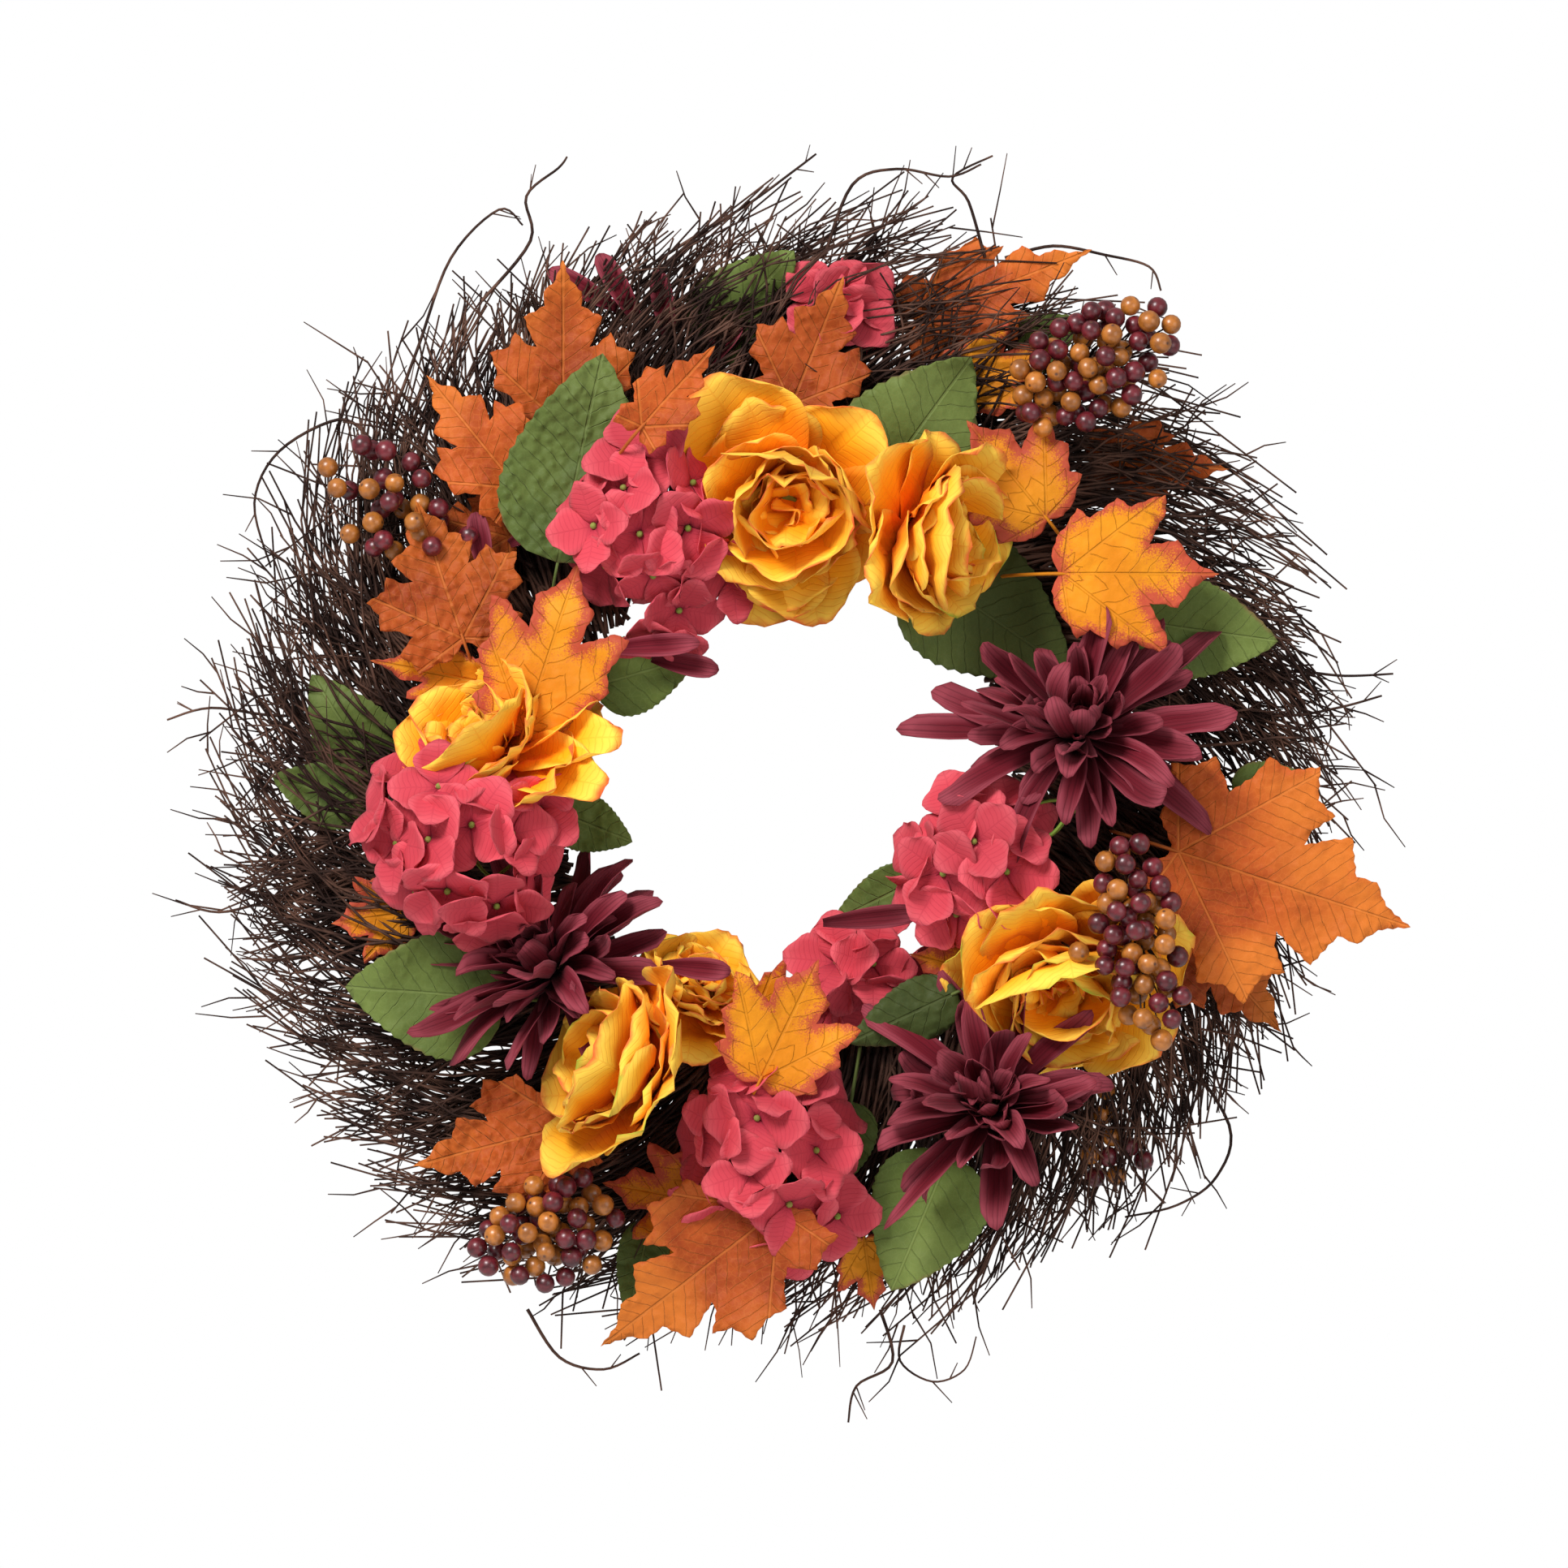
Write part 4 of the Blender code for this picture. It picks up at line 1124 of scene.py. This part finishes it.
def make_hydrangea(half_wide, half_long, florets, deep, seed):
    """Florets spread over a dome."""
    rng = random.Random(seed)
    gathering = Gathering()
    blank = petal_blank(6, 7)
    eye = floret_eye()
    inset = FLORET_SIZE * 0.6
    for outward in dome_spots(florets, rng, deep):
        size = FLORET_SIZE * rng.uniform(0.88, 1.10)
        inner = Vector((outward.x * (half_wide - inset), outward.y * (half_long - inset),
                        outward.z * 0.026 + rng.uniform(-0.004, 0.003)))
        lean = Vector((outward.x, outward.y, max(outward.z, 0.0) + 0.42)).normalized()
        lean = (lean + Vector((rng.uniform(-0.32, 0.32), rng.uniform(-0.32, 0.32), 0))).normalized()
        pose = Matrix.Translation(inner) @ lean.to_track_quat("Z", "Y").to_matrix().to_4x4()
        make_floret(gathering, pose, size, rng, blank, eye)
    return gathering


MUM_WHORLS = (
    # petals, length, opening, curl, hook; lengths are shares of the flower's size
    (16, 1.00, 98.0, -10.0, 14.0),
    (15, 0.98, 84.0, -12.0, 10.0),
    (13, 0.88, 70.0, -16.0, 8.0),
    (12, 0.74, 56.0, -24.0, 6.0),
    (10, 0.58, 44.0, -30.0, 4.0),
    (8, 0.42, 32.0, -30.0, 4.0),
    (5, 0.18, 24.0, -10.0, 10.0),
)


def mum_petals(rng, spread, extra):
    """Every petal of a mum: turn, length, bend, and whether it belongs to the heart."""
    for level, (count, long, opening, curl, hook) in enumerate(MUM_WHORLS):
        start = rng.uniform(0, 360)
        for index in range(count):
            angle = start + 360.0 * index / count + rng.uniform(-26, 26)
            bend = (opening * spread + rng.uniform(-26, 22), curl + rng.uniform(-34, 34),
                    hook + rng.uniform(-60, 60))
            yield angle, long * rng.uniform(0.64, 1.18), bend, level == len(MUM_WHORLS) - 1
    for angle, long, bend in extra:
        yield angle, long, bend, False


def make_mum(size, seed, spread, extra):
    """Strap petals in crowded whorls."""
    rng = random.Random(seed)
    blank = petal_blank(4, 9)
    gathering = Gathering()
    for angle, long, bend, heart in list(mum_petals(rng, spread, extra)):
        reach = size * long
        half = MUM_HALF_WIDTH * (0.66 + 0.34 * long) * rng.uniform(0.72, 1.24)
        petal = bend_petal(blank, STRAP_PETAL, (reach, half), bend, rng.uniform(0.20, 1.00), 0.012, rng, 1.0,
                           MUM_CRUMPLE, rng.uniform(-34, 34), rng.uniform(-0.18, 0.18))
        veins, edge = petal_fields(blank, reach, half)
        # Painted shade at the base of each mum petal, deep in the crowded whorls.
        throat = np.clip(1.0 - blank[1] * 1.5, 0, 1)
        gathering.add(spun(petal, angle), blank[2], veins[:, [1, 1]], edge, throat, rng.uniform(0, 1),
                      int(heart))
    return gathering


# ---- operators ----


class WREATH_OT_wires(bpy.types.Operator):
    """Finish the ring, its binding wire and the hanging loop"""

    bl_idname = "wreath.wires"
    bl_label = "Ring wires"

    def execute(self, context):
        finishes = {
            "ring_frame": coated_wire("green_enamel", shade("23301F"), shade("4A5040"), 0.4, 0.45),
            "binding_wire": coated_wire("green_paddle_wire", shade("1E2A1C"), shade("56604C"), 0.5, 0.5),
            "hanging_loop": coated_wire("black_loop_wire", shade("1A1A1A"), shade("6A6A68"), 0.8, 0.38),
        }
        for node, material in finishes.items():
            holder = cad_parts[node]
            holder.data.materials.clear()
            holder.data.materials.append(material)
        return {"FINISHED"}


def twig_path(rng, clock, start, end, low, high, sweep, bow, radii):
    """One twig: it leaves the ring at a clock angle and sweeps on clockwise as it runs out."""
    sweep = min(max(sweep, LEAST_SWEEP), MOST_SWEEP)
    kink, hook = rng.uniform(-3.2, 3.2), rng.gauss(2.0, 4.0)
    crest = rng.triangular(0.0, 0.016, 0.0) if low < 0.02 else 0.0
    points, widths = [], []
    for step in range(TWIG_POINTS):
        share = step / (TWIG_POINTS - 1)
        radius = start + (end - start) * share
        angle = clock + math.degrees(math.tan(math.radians(sweep)) * math.log(radius / start))
        angle += bow * share * share + kink * math.sin(share * 5.0) + hook * share ** 6
        angle += rng.uniform(-0.3, 0.3)
        height = low + (high - low) * share ** 1.3 + crest * math.sin(math.pi * share) ** 2
        if radius < LOOP_REACH:
            height = max(height, LOOP_FRONT)
        points.append(spot(angle, radius, height + rng.uniform(-0.0006, 0.0006)))
        widths.append(radii[0] + (radii[1] - radii[0]) * share)
    return points, widths


def side_shoots(rng, points, tip_radius, count):
    """Short fine shoots that leave a twig near its end."""
    for _ in range(count):
        index = rng.choice((4, 5, 6))
        start = points[index].lerp(points[index + 1], rng.random())
        along = (points[index + 1] - points[index]).normalized()
        lean = Matrix.Rotation(math.radians(rng.choice((-1, 1)) * rng.uniform(12, 40)), 3, "Z")
        reach = rng.uniform(0.012, 0.038)
        way = lean @ along
        way.z += rng.uniform(-0.2, 0.2)
        bend = Matrix.Rotation(math.radians(rng.uniform(-22, 22)), 3, "Z") @ way
        yield [start, start + way * reach * 0.5, start + (way + bend) * reach * 0.5], \
            [tip_radius * 1.15, tip_radius * 0.9, tip_radius * 0.6]


def brush(rng, clocks, starts, reach, heights, count, radii):
    """A handful of twigs that run the same way and end raggedly, with a stray or two among them."""
    middle = rng.uniform(*clocks)
    sweep, bow = rng.gauss(25, 9), rng.uniform(-6, 15)
    far = WREATH_REACH * reach * rng.triangular(0.88, 1.0, 0.97)
    rise = rng.uniform(*heights[2:])
    for number in range(count):
        stray = number % 9 == 0
        start = rng.uniform(*starts)
        end = far * (rng.triangular(0.90, 1.04, 1.0) if stray else rng.triangular(0.68, 1.02, 0.95))
        points, widths = twig_path(rng, middle + rng.gauss(0, 3.6), start, max(start + 0.03, end),
                                   rng.uniform(*heights[:2]), max(0.0015, rise + rng.uniform(-0.004, 0.004)),
                                   sweep + rng.gauss(0, 16 if stray else 6),
                                   bow + rng.gauss(0, 14 if stray else 3), radii)
        yield points, widths
        yield from side_shoots(rng, points, radii[1], rng.choice((0, 1, 1, 2)))


class WREATH_OT_twigs(bpy.types.Operator):
    """Lay the rear bundles and the front sprays of twigs"""

    bl_idname = "wreath.twigs"
    bl_label = "Twigs"

    def execute(self, context):
        twigs = settings().twigs
        material = bark("twig_bark", *shades(twigs, "bark_dark", "bark_light"))
        radii = (twigs.butt_radius, twigs.tip_radius)
        share = 45.0 / twigs.handfuls
        for index in range(8):
            rng = random.Random(100 + index)
            paths = []
            for hand in range(twigs.handfuls):
                clocks = (45.0 * index + share * hand, 45.0 * index + share * (hand + 1))
                paths.extend(brush(rng, clocks, BUNDLE_ROOTS, BUNDLE_REACH[index], BUNDLE_HEIGHTS,
                                   twigs.in_hand, radii))
            node = f"twig_bundle_{index + 1}"
            settle(wires(f"loose_{node}", in_world(paths), material), "twig", node)
        for number, (node, clock, spread, handfuls) in enumerate(SPRAYS):
            rng = random.Random(200 + number)
            paths = []
            for hand in range(handfuls):
                start = clock + SPRAY_LEAD
                clocks = (start + spread * hand / handfuls, start + spread * (hand + 1) / handfuls)
                paths.extend(brush(rng, clocks, SPRAY_ROOTS, SPRAY_REACH, SPRAY_HEIGHTS,
                                   twigs.in_spray, radii))
            settle(wires(f"loose_{node}", in_world(paths), material), "twig", node)
        return {"FINISHED"}


class WREATH_OT_wisps(bpy.types.Operator):
    """Add the long loose wisps of vine round the rim"""

    bl_idname = "wreath.wisps"
    bl_label = "Wisps"

    def execute(self, context):
        material = bark("wisp_bark", *shades(settings().twigs, "bark_dark", "bark_light"))
        rng = random.Random(300)
        paths = []
        for height, flat in WISPS:
            corners = [Vector((x, y, height + rng.uniform(-0.003, 0.003))) for x, y in flat]
            points = smooth_path(corners, 6)
            widths = [0.0009 - 0.0004 * step / len(points) for step in range(len(points))]
            paths.append((points, widths))
            for _ in range(2):
                index = rng.randrange(len(points) // 2, len(points) - 1)
                way = (points[index + 1] - points[index]).normalized()
                way = Matrix.Rotation(math.radians(rng.choice((-1, 1)) * rng.uniform(25, 50)), 3, "Z") @ way
                tip = points[index] + way * rng.uniform(0.008, 0.016)
                paths.append(([points[index], tip], [0.0004, 0.00025]))
        settle(wires("vine_wisps", in_world(paths), material), "twig")
        return {"FINISHED"}


def leaf_material(kind):
    parts = [f"{kind}_{part}" for part in ("patch", "rim", "vein", "far")]
    return leaf_silk(f"{kind}_leaf_cloth", *shades(settings().leaves, kind, *parts), *LEAF_PRINTS[kind])


class WREATH_OT_leaves(bpy.types.Operator):
    """Cut, bend and set the green and maple leaves"""

    bl_idname = "wreath.leaves"
    bl_label = "Leaves"

    def execute(self, context):
        materials = {kind: leaf_material(kind) for kind in LEAF_PRINTS}
        rows = [("green", f"green_leaf_{number}", plan) for number, *plan in GREEN_LEAVES]
        for number, *plan in MAPLE_LEAVES:
            rows.append(("rust" if number in RUST_MAPLES else "gold", f"maple_leaf_{number}", plan))
        for seed, (kind, node, plan) in enumerate(rows):
            base = node_base(node, plan)
            cloth = materials[kind]
            leaf = leaf_piece(f"cloth_{node}", kind, plan, base, 400 + seed, cloth, LEAF_TONE_AND_SHADE.get(node))
            settle(leaf, f"{kind}_leaf", node)
            settle(stalk(f"stalk_{node}", base, plan[0], cloth), f"{kind}_leaf")
        for seed, (kind, clock, reach, height, *plan) in enumerate(SMALL_LEAVES):
            base = spot(clock, reach, height)
            cloth = materials[kind]
            leaf = leaf_piece(f"small_{kind}_leaf_{seed + 1}", kind, plan, base, 500 + seed, cloth)
            settle(leaf, f"{kind}_leaf")
            settle(stalk(f"small_stalk_{seed + 1}", base, plan[0], cloth), f"{kind}_leaf")
        return {"FINISHED"}


def place_head(gathering, title, kind, number, lean, crown, materials, stem):
    """Sets a flower head on its node and runs a stem from it down among the twigs."""
    node = f"{kind}_{number}"
    pose = head_pose(node, *lean, crown)
    gathering.move(pose)
    settle(gathering.piece(f"{title}_{node}", materials, settings().flowers.cloth), kind, node)
    settle(flower_stem(f"stem_{node}", pose, STEM_RADIUS[kind], stem), kind)


class WREATH_OT_peonies(bpy.types.Operator):
    """Build the peonies petal by petal"""

    bl_idname = "wreath.peonies"
    bl_label = "Peonies"

    def execute(self, context):
        cloth = petal_silk("peony_cloth", *petal_shades("peony"), (0.76, 1.12), 0.22,
                           tint=tuple(settings().flowers.peony_tint))
        stem = stem_bark("peony_stem")
        for number, tilt, heading, size, stand, extra in PEONIES:
            bloom = make_peony(size, 600 + number, extra)
            place_head(bloom, "bloom", "peony", number, (tilt, heading), size * stand, [cloth], stem)
        return {"FINISHED"}


class WREATH_OT_hydrangeas(bpy.types.Operator):
    """Build the hydrangea heads from four-petalled florets"""

    bl_idname = "wreath.hydrangeas"
    bl_label = "Hydrangeas"

    def execute(self, context):
        cloth = petal_silk("hydrangea_cloth", *petal_shades("hydrangea"), (0.8, 1.3), 0.18, 0.0026)
        eye = bark("floret_eye", *shades(settings().flowers, "eye", "stem"))
        stem = stem_bark("hydrangea_stem")
        for number, tilt, heading, wide, long, florets, sunk, under in HYDRANGEAS:
            head = make_hydrangea(wide, long, florets, under, 700 + number)
            crown = HYDRANGEA_CROWN + sunk
            place_head(head, "head", "hydrangea", number, (tilt, heading), crown, [cloth, eye], stem)
        return {"FINISHED"}


class WREATH_OT_loose(bpy.types.Operator):
    """Add the petals, florets and green stems that hang free of the heads"""

    bl_idname = "wreath.loose"
    bl_label = "Loose petals"

    def execute(self, context):
        rng = random.Random(950)
        petals, florets = Gathering(), Gathering()
        blank = petal_blank(4, 9)
        for x, y, height, heading, long in LOOSE_PETALS:
            bend = (80.0, 14.0, rng.uniform(-20, 20))
            petal = bend_petal(blank, STRAP_PETAL, (long, 0.0056), bend, 0.7, 0.01, rng, 1.0, 0.0014,
                               rng.uniform(-20, 20))
            veins, edge = petal_fields(blank, long, 0.0064)
            # Painted shade: the np.clip mask darkens the base of each loose petal.
            petals.add(carry(petal, stood((x, y, height), heading, 0.0)), blank[2], veins[:, [1, 1]], edge,
                       np.clip(0.6 - blank[1], 0, 1), rng.random())
        blank, eye = petal_blank(6, 7), floret_eye()
        for x, y, height, heading, tilt in LOOSE_FLORETS:
            make_floret(florets, stood((x, y, height), heading, tilt), 0.024, rng, blank, eye)
        cloth, made = settings().flowers.cloth, bpy.data.materials
        settle(petals.piece("loose_mum_petals", [made["mum_cloth"]], cloth), "mum")
        silks = [made["hydrangea_cloth"], made["floret_eye"]]
        settle(florets.piece("loose_florets", silks, cloth), "hydrangea")
        paths = []
        for height, flat in GREEN_STEMS:
            points = smooth_path([Vector((x, y, height)) for x, y in flat], 4)
            paths.append((points, [STALK_RADIUS] * len(points)))
        settle(wires("green_stems", in_world(paths), stem_bark("green_stem")), "hydrangea")
        return {"FINISHED"}


class WREATH_OT_mums(bpy.types.Operator):
    """Build the spider mums"""

    bl_idname = "wreath.mums"
    bl_label = "Mums"

    def execute(self, context):
        cloth = petal_silk("mum_cloth", *petal_shades("mum"), (0.8, 1.3), 0.35, 0.0018)
        # The third shade, 3A1018, is painted shade at the base of the heart petals.
        heart_shades = [shade(code) for code in ("6A5A34", "8A8048", "3A1018", "7E7444")]
        heart = petal_silk("mum_heart_cloth", *heart_shades, (0.4, 0.9), 0.2)
        stem = stem_bark("mum_stem")
        for number, tilt, heading, size, spread, stand, extra in MUMS:
            bloom = make_mum(size, 800 + number, spread, extra)
            place_head(bloom, "bloom", "mum", number, (tilt, heading), size * stand, [cloth, heart], stem)
        return {"FINISHED"}


def berry_places(rng, half_wide, half_long, depth, gap, count):
    """Places for berries in a flat lump, no two closer than a berry."""
    places = []
    for _ in range(count * 60):
        if len(places) == count:
            break
        spotted = Vector((rng.uniform(-1, 1), rng.uniform(-1, 1), rng.uniform(-1, 1)))
        if spotted.length > 1:
            continue
        place = Vector((spotted.x * half_wide, spotted.y * half_long, spotted.z * depth))
        if all((place - other).length > gap for other in places):
            places.append(place)
    return places


def add_berry(gathering, ball, pose, size, tone, kind):
    """One berry; ball is the points and faces of a sphere, and its spot lies at the pole."""
    points, faces = ball
    pole = np.clip(points[:, 2], 0, 1)
    gathering.add(carry(points * size, pose), faces, points[:, :2], pole, 0.0, tone, kind)


def make_spray(node, seed, heading, half_wide, half_long, count, radius, ball):
    """The berries of one spray, heaped on its node, and the paths of the wires under them."""
    rng = random.Random(seed)
    places = flat_points(node)
    near = places[places[:, 2] > places[:, 2].max() - 0.014]
    middle = Vector((near.min(axis=0) + near.max(axis=0)) / 2)
    turn = leaning(heading, 0.0)
    gathering, paths = Gathering(), []
    for place in berry_places(rng, half_wide, half_long, SPRAY_DEPTH, radius * 2 * BERRY_GAP, count):
        at = middle + turn @ place
        aside = Vector((rng.uniform(-0.03, 0.03), rng.uniform(-0.03, 0.03), 0.012))
        outward = (turn @ (place + aside)).normalized()
        pose = LAYOUT @ Matrix.Translation(at) @ outward.to_track_quat("Z", "Y").to_matrix().to_4x4()
        size = radius * rng.uniform(0.92, 1.05)
        kind = 1 if rng.random() < 0.48 else 0
        add_berry(gathering, ball, pose, size, rng.random(), kind)
        root = middle + turn @ Vector((place.x * 0.25, place.y * 0.45 - 0.01, -0.018))
        elbow = at.lerp(root, 0.5) + Vector((0, 0, -0.003))
        paths.append(([root, elbow, at - outward * radius * 0.8], BERRY_WIRE))
    foot = spot(math.degrees(math.atan2(middle.x, middle.y)), middle.xy.length - 0.03, 0.018)
    tip = middle + turn @ Vector((0, half_long * 0.5, -0.014))
    stem = smooth_path([foot, middle + Vector((0, 0, -0.024)), tip], 5)
    paths.append((stem, [BERRY_STEM] * len(stem)))
    return gathering, paths


class WREATH_OT_berries(bpy.types.Operator):
    """Wire up the berry sprays and the loose berries"""

    bl_idname = "wreath.berries"
    bl_label = "Berries"

    def execute(self, context):
        berry = settings().berries
        radius = berry.diameter / 2
        skins = [berry_skin(f"{kind}_berry", *shades(berry, kind, f"{kind}_dark", "spot"))
                 for kind in ("wine", "ochre")]
        wire = bark("berry_wire", shade("2A1C18"), shade("4A3428"))
        ball = primitive_arrays(bpy.ops.mesh.primitive_uv_sphere_add, segments=12, ring_count=8, radius=1.0)
        for number, heading, half_wide, half_long, count in BERRY_SPRAYS:
            node = f"berry_spray_{number}"
            fruit, paths = make_spray(node, 900 + number, heading, half_wide, half_long, count, radius, ball)
            settle(fruit.piece(f"fruit_{node}", skins), "berry", node)
            settle(wires(f"wires_{node}", in_world(paths), wire), "berry")
        rng = random.Random(960)
        fruit, paths = Gathering(), []
        for x, y, height, kind in LOOSE_BERRIES:
            pose = stood((x, y, height), rng.uniform(0, 360), 30.0)
            add_berry(fruit, ball, pose, radius, rng.random(), kind)
            root = Vector((x * 0.95, y * 0.95, height - 0.022))
            paths.append(([root, Vector((x, y, height - 0.004))], BERRY_WIRE[:2]))
        settle(fruit.piece("loose_berries", skins), "berry")
        settle(wires("loose_berry_wires", in_world(paths), wire), "berry")
        return {"FINISHED"}


class WREATH_OT_stage(bpy.types.Operator):
    """Set the floor, the light and the camera"""

    bl_idname = "wreath.stage"
    bl_label = "Stage"

    def execute(self, context):
        stage = settings().stage
        bpy.ops.object.select_all(action="DESELECT")
        bpy.ops.mesh.primitive_circle_add(vertices=96, radius=stage.floor_radius, fill_type="NGON",
                                          location=(RING_MIDDLE.x, 0.0, RING_MIDDLE.z - stage.floor_drop))
        floor = context.active_object
        floor.name = "floor"
        pale = Finish("pale_floor", 0.9)
        mottled = pale.blend(pale.cloud(3.0), (0.80, 0.80, 0.80), (0.84, 0.84, 0.84))
        floor.data.materials.append(pale.finish(mottled))
        world = bpy.data.worlds.new("studio")
        context.scene.world = world
        world.use_nodes = True
        nodes, links = world.node_tree.nodes, world.node_tree.links
        soft = nodes["Background"]
        soft.inputs["Color"].default_value = (1.0, 1.0, 1.0, 1.0)
        soft.inputs["Strength"].default_value = SOFT_LIGHT
        white = nodes.new("ShaderNodeBackground")
        white.inputs["Color"].default_value = (1.0, 1.0, 1.0, 1.0)
        seen = nodes.new("ShaderNodeLightPath")
        join = nodes.new("ShaderNodeMixShader")
        links.new(seen.outputs["Is Camera Ray"], join.inputs[0])
        links.new(soft.outputs[0], join.inputs[1])
        links.new(white.outputs[0], join.inputs[2])
        links.new(join.outputs[0], nodes["World Output"].inputs["Surface"])
        middle = Vector((RING_MIDDLE.x, TWIG_BACK - 0.05, RING_MIDDLE.z))
        for name, place, size, power in LAMPS:
            bpy.ops.object.light_add(type="AREA", location=middle + Vector(place))
            lamp = context.active_object
            lamp.name = name
            lamp.data.size = size
            lamp.data.energy = power
            lamp.rotation_euler = (middle - lamp.location).to_track_quat("-Z", "Y").to_euler()
        bpy.ops.object.camera_add(location=middle + Vector((0.0, -stage.camera_distance, 0.0)),
                                  rotation=(math.pi / 2, 0.0, 0.0))
        camera = context.active_object
        camera.data.lens = camera.data.sensor_width * stage.camera_distance / stage.view_width
        camera.data.clip_end = 50.0
        context.scene.camera = camera
        context.scene.view_settings.view_transform = "Standard"
        return {"FINISHED"}


class WreathSettings(bpy.types.PropertyGroup):
    twigs: PointerProperty(type=TwigSettings)
    leaves: PointerProperty(type=LeafSettings)
    flowers: PointerProperty(type=FlowerSettings)
    berries: PointerProperty(type=BerrySettings)
    stage: PointerProperty(type=StageSettings)


STEPS = (
    WREATH_OT_stage,
    WREATH_OT_wires,
    WREATH_OT_twigs,
    WREATH_OT_wisps,
    WREATH_OT_leaves,
    WREATH_OT_peonies,
    WREATH_OT_hydrangeas,
    WREATH_OT_mums,
    WREATH_OT_loose,
    WREATH_OT_berries,
)


class WREATH_PT_panel(bpy.types.Panel):
    """The steps that build the wreath"""

    bl_idname = "WREATH_PT_panel"
    bl_label = "Harvest door wreath"
    bl_space_type = "VIEW_3D"
    bl_region_type = "UI"
    bl_category = "Wreath"

    def draw(self, context):
        for step in STEPS:
            self.layout.operator(step.bl_idname)


CLASSES = (TwigSettings, LeafSettings, FlowerSettings, BerrySettings, StageSettings, WreathSettings,
           *STEPS, WREATH_PT_panel)


def register():
    for item in CLASSES:
        bpy.utils.register_class(item)
    bpy.types.Scene.wreath = PointerProperty(type=WreathSettings)


def unregister():
    del bpy.types.Scene.wreath
    for item in reversed(CLASSES):
        bpy.utils.unregister_class(item)


def main():
    register()
    for step in STEPS:
        group, name = step.bl_idname.split(".")
        getattr(getattr(bpy.ops, group), name)()
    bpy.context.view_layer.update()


if __name__ == "__main__":
    main()
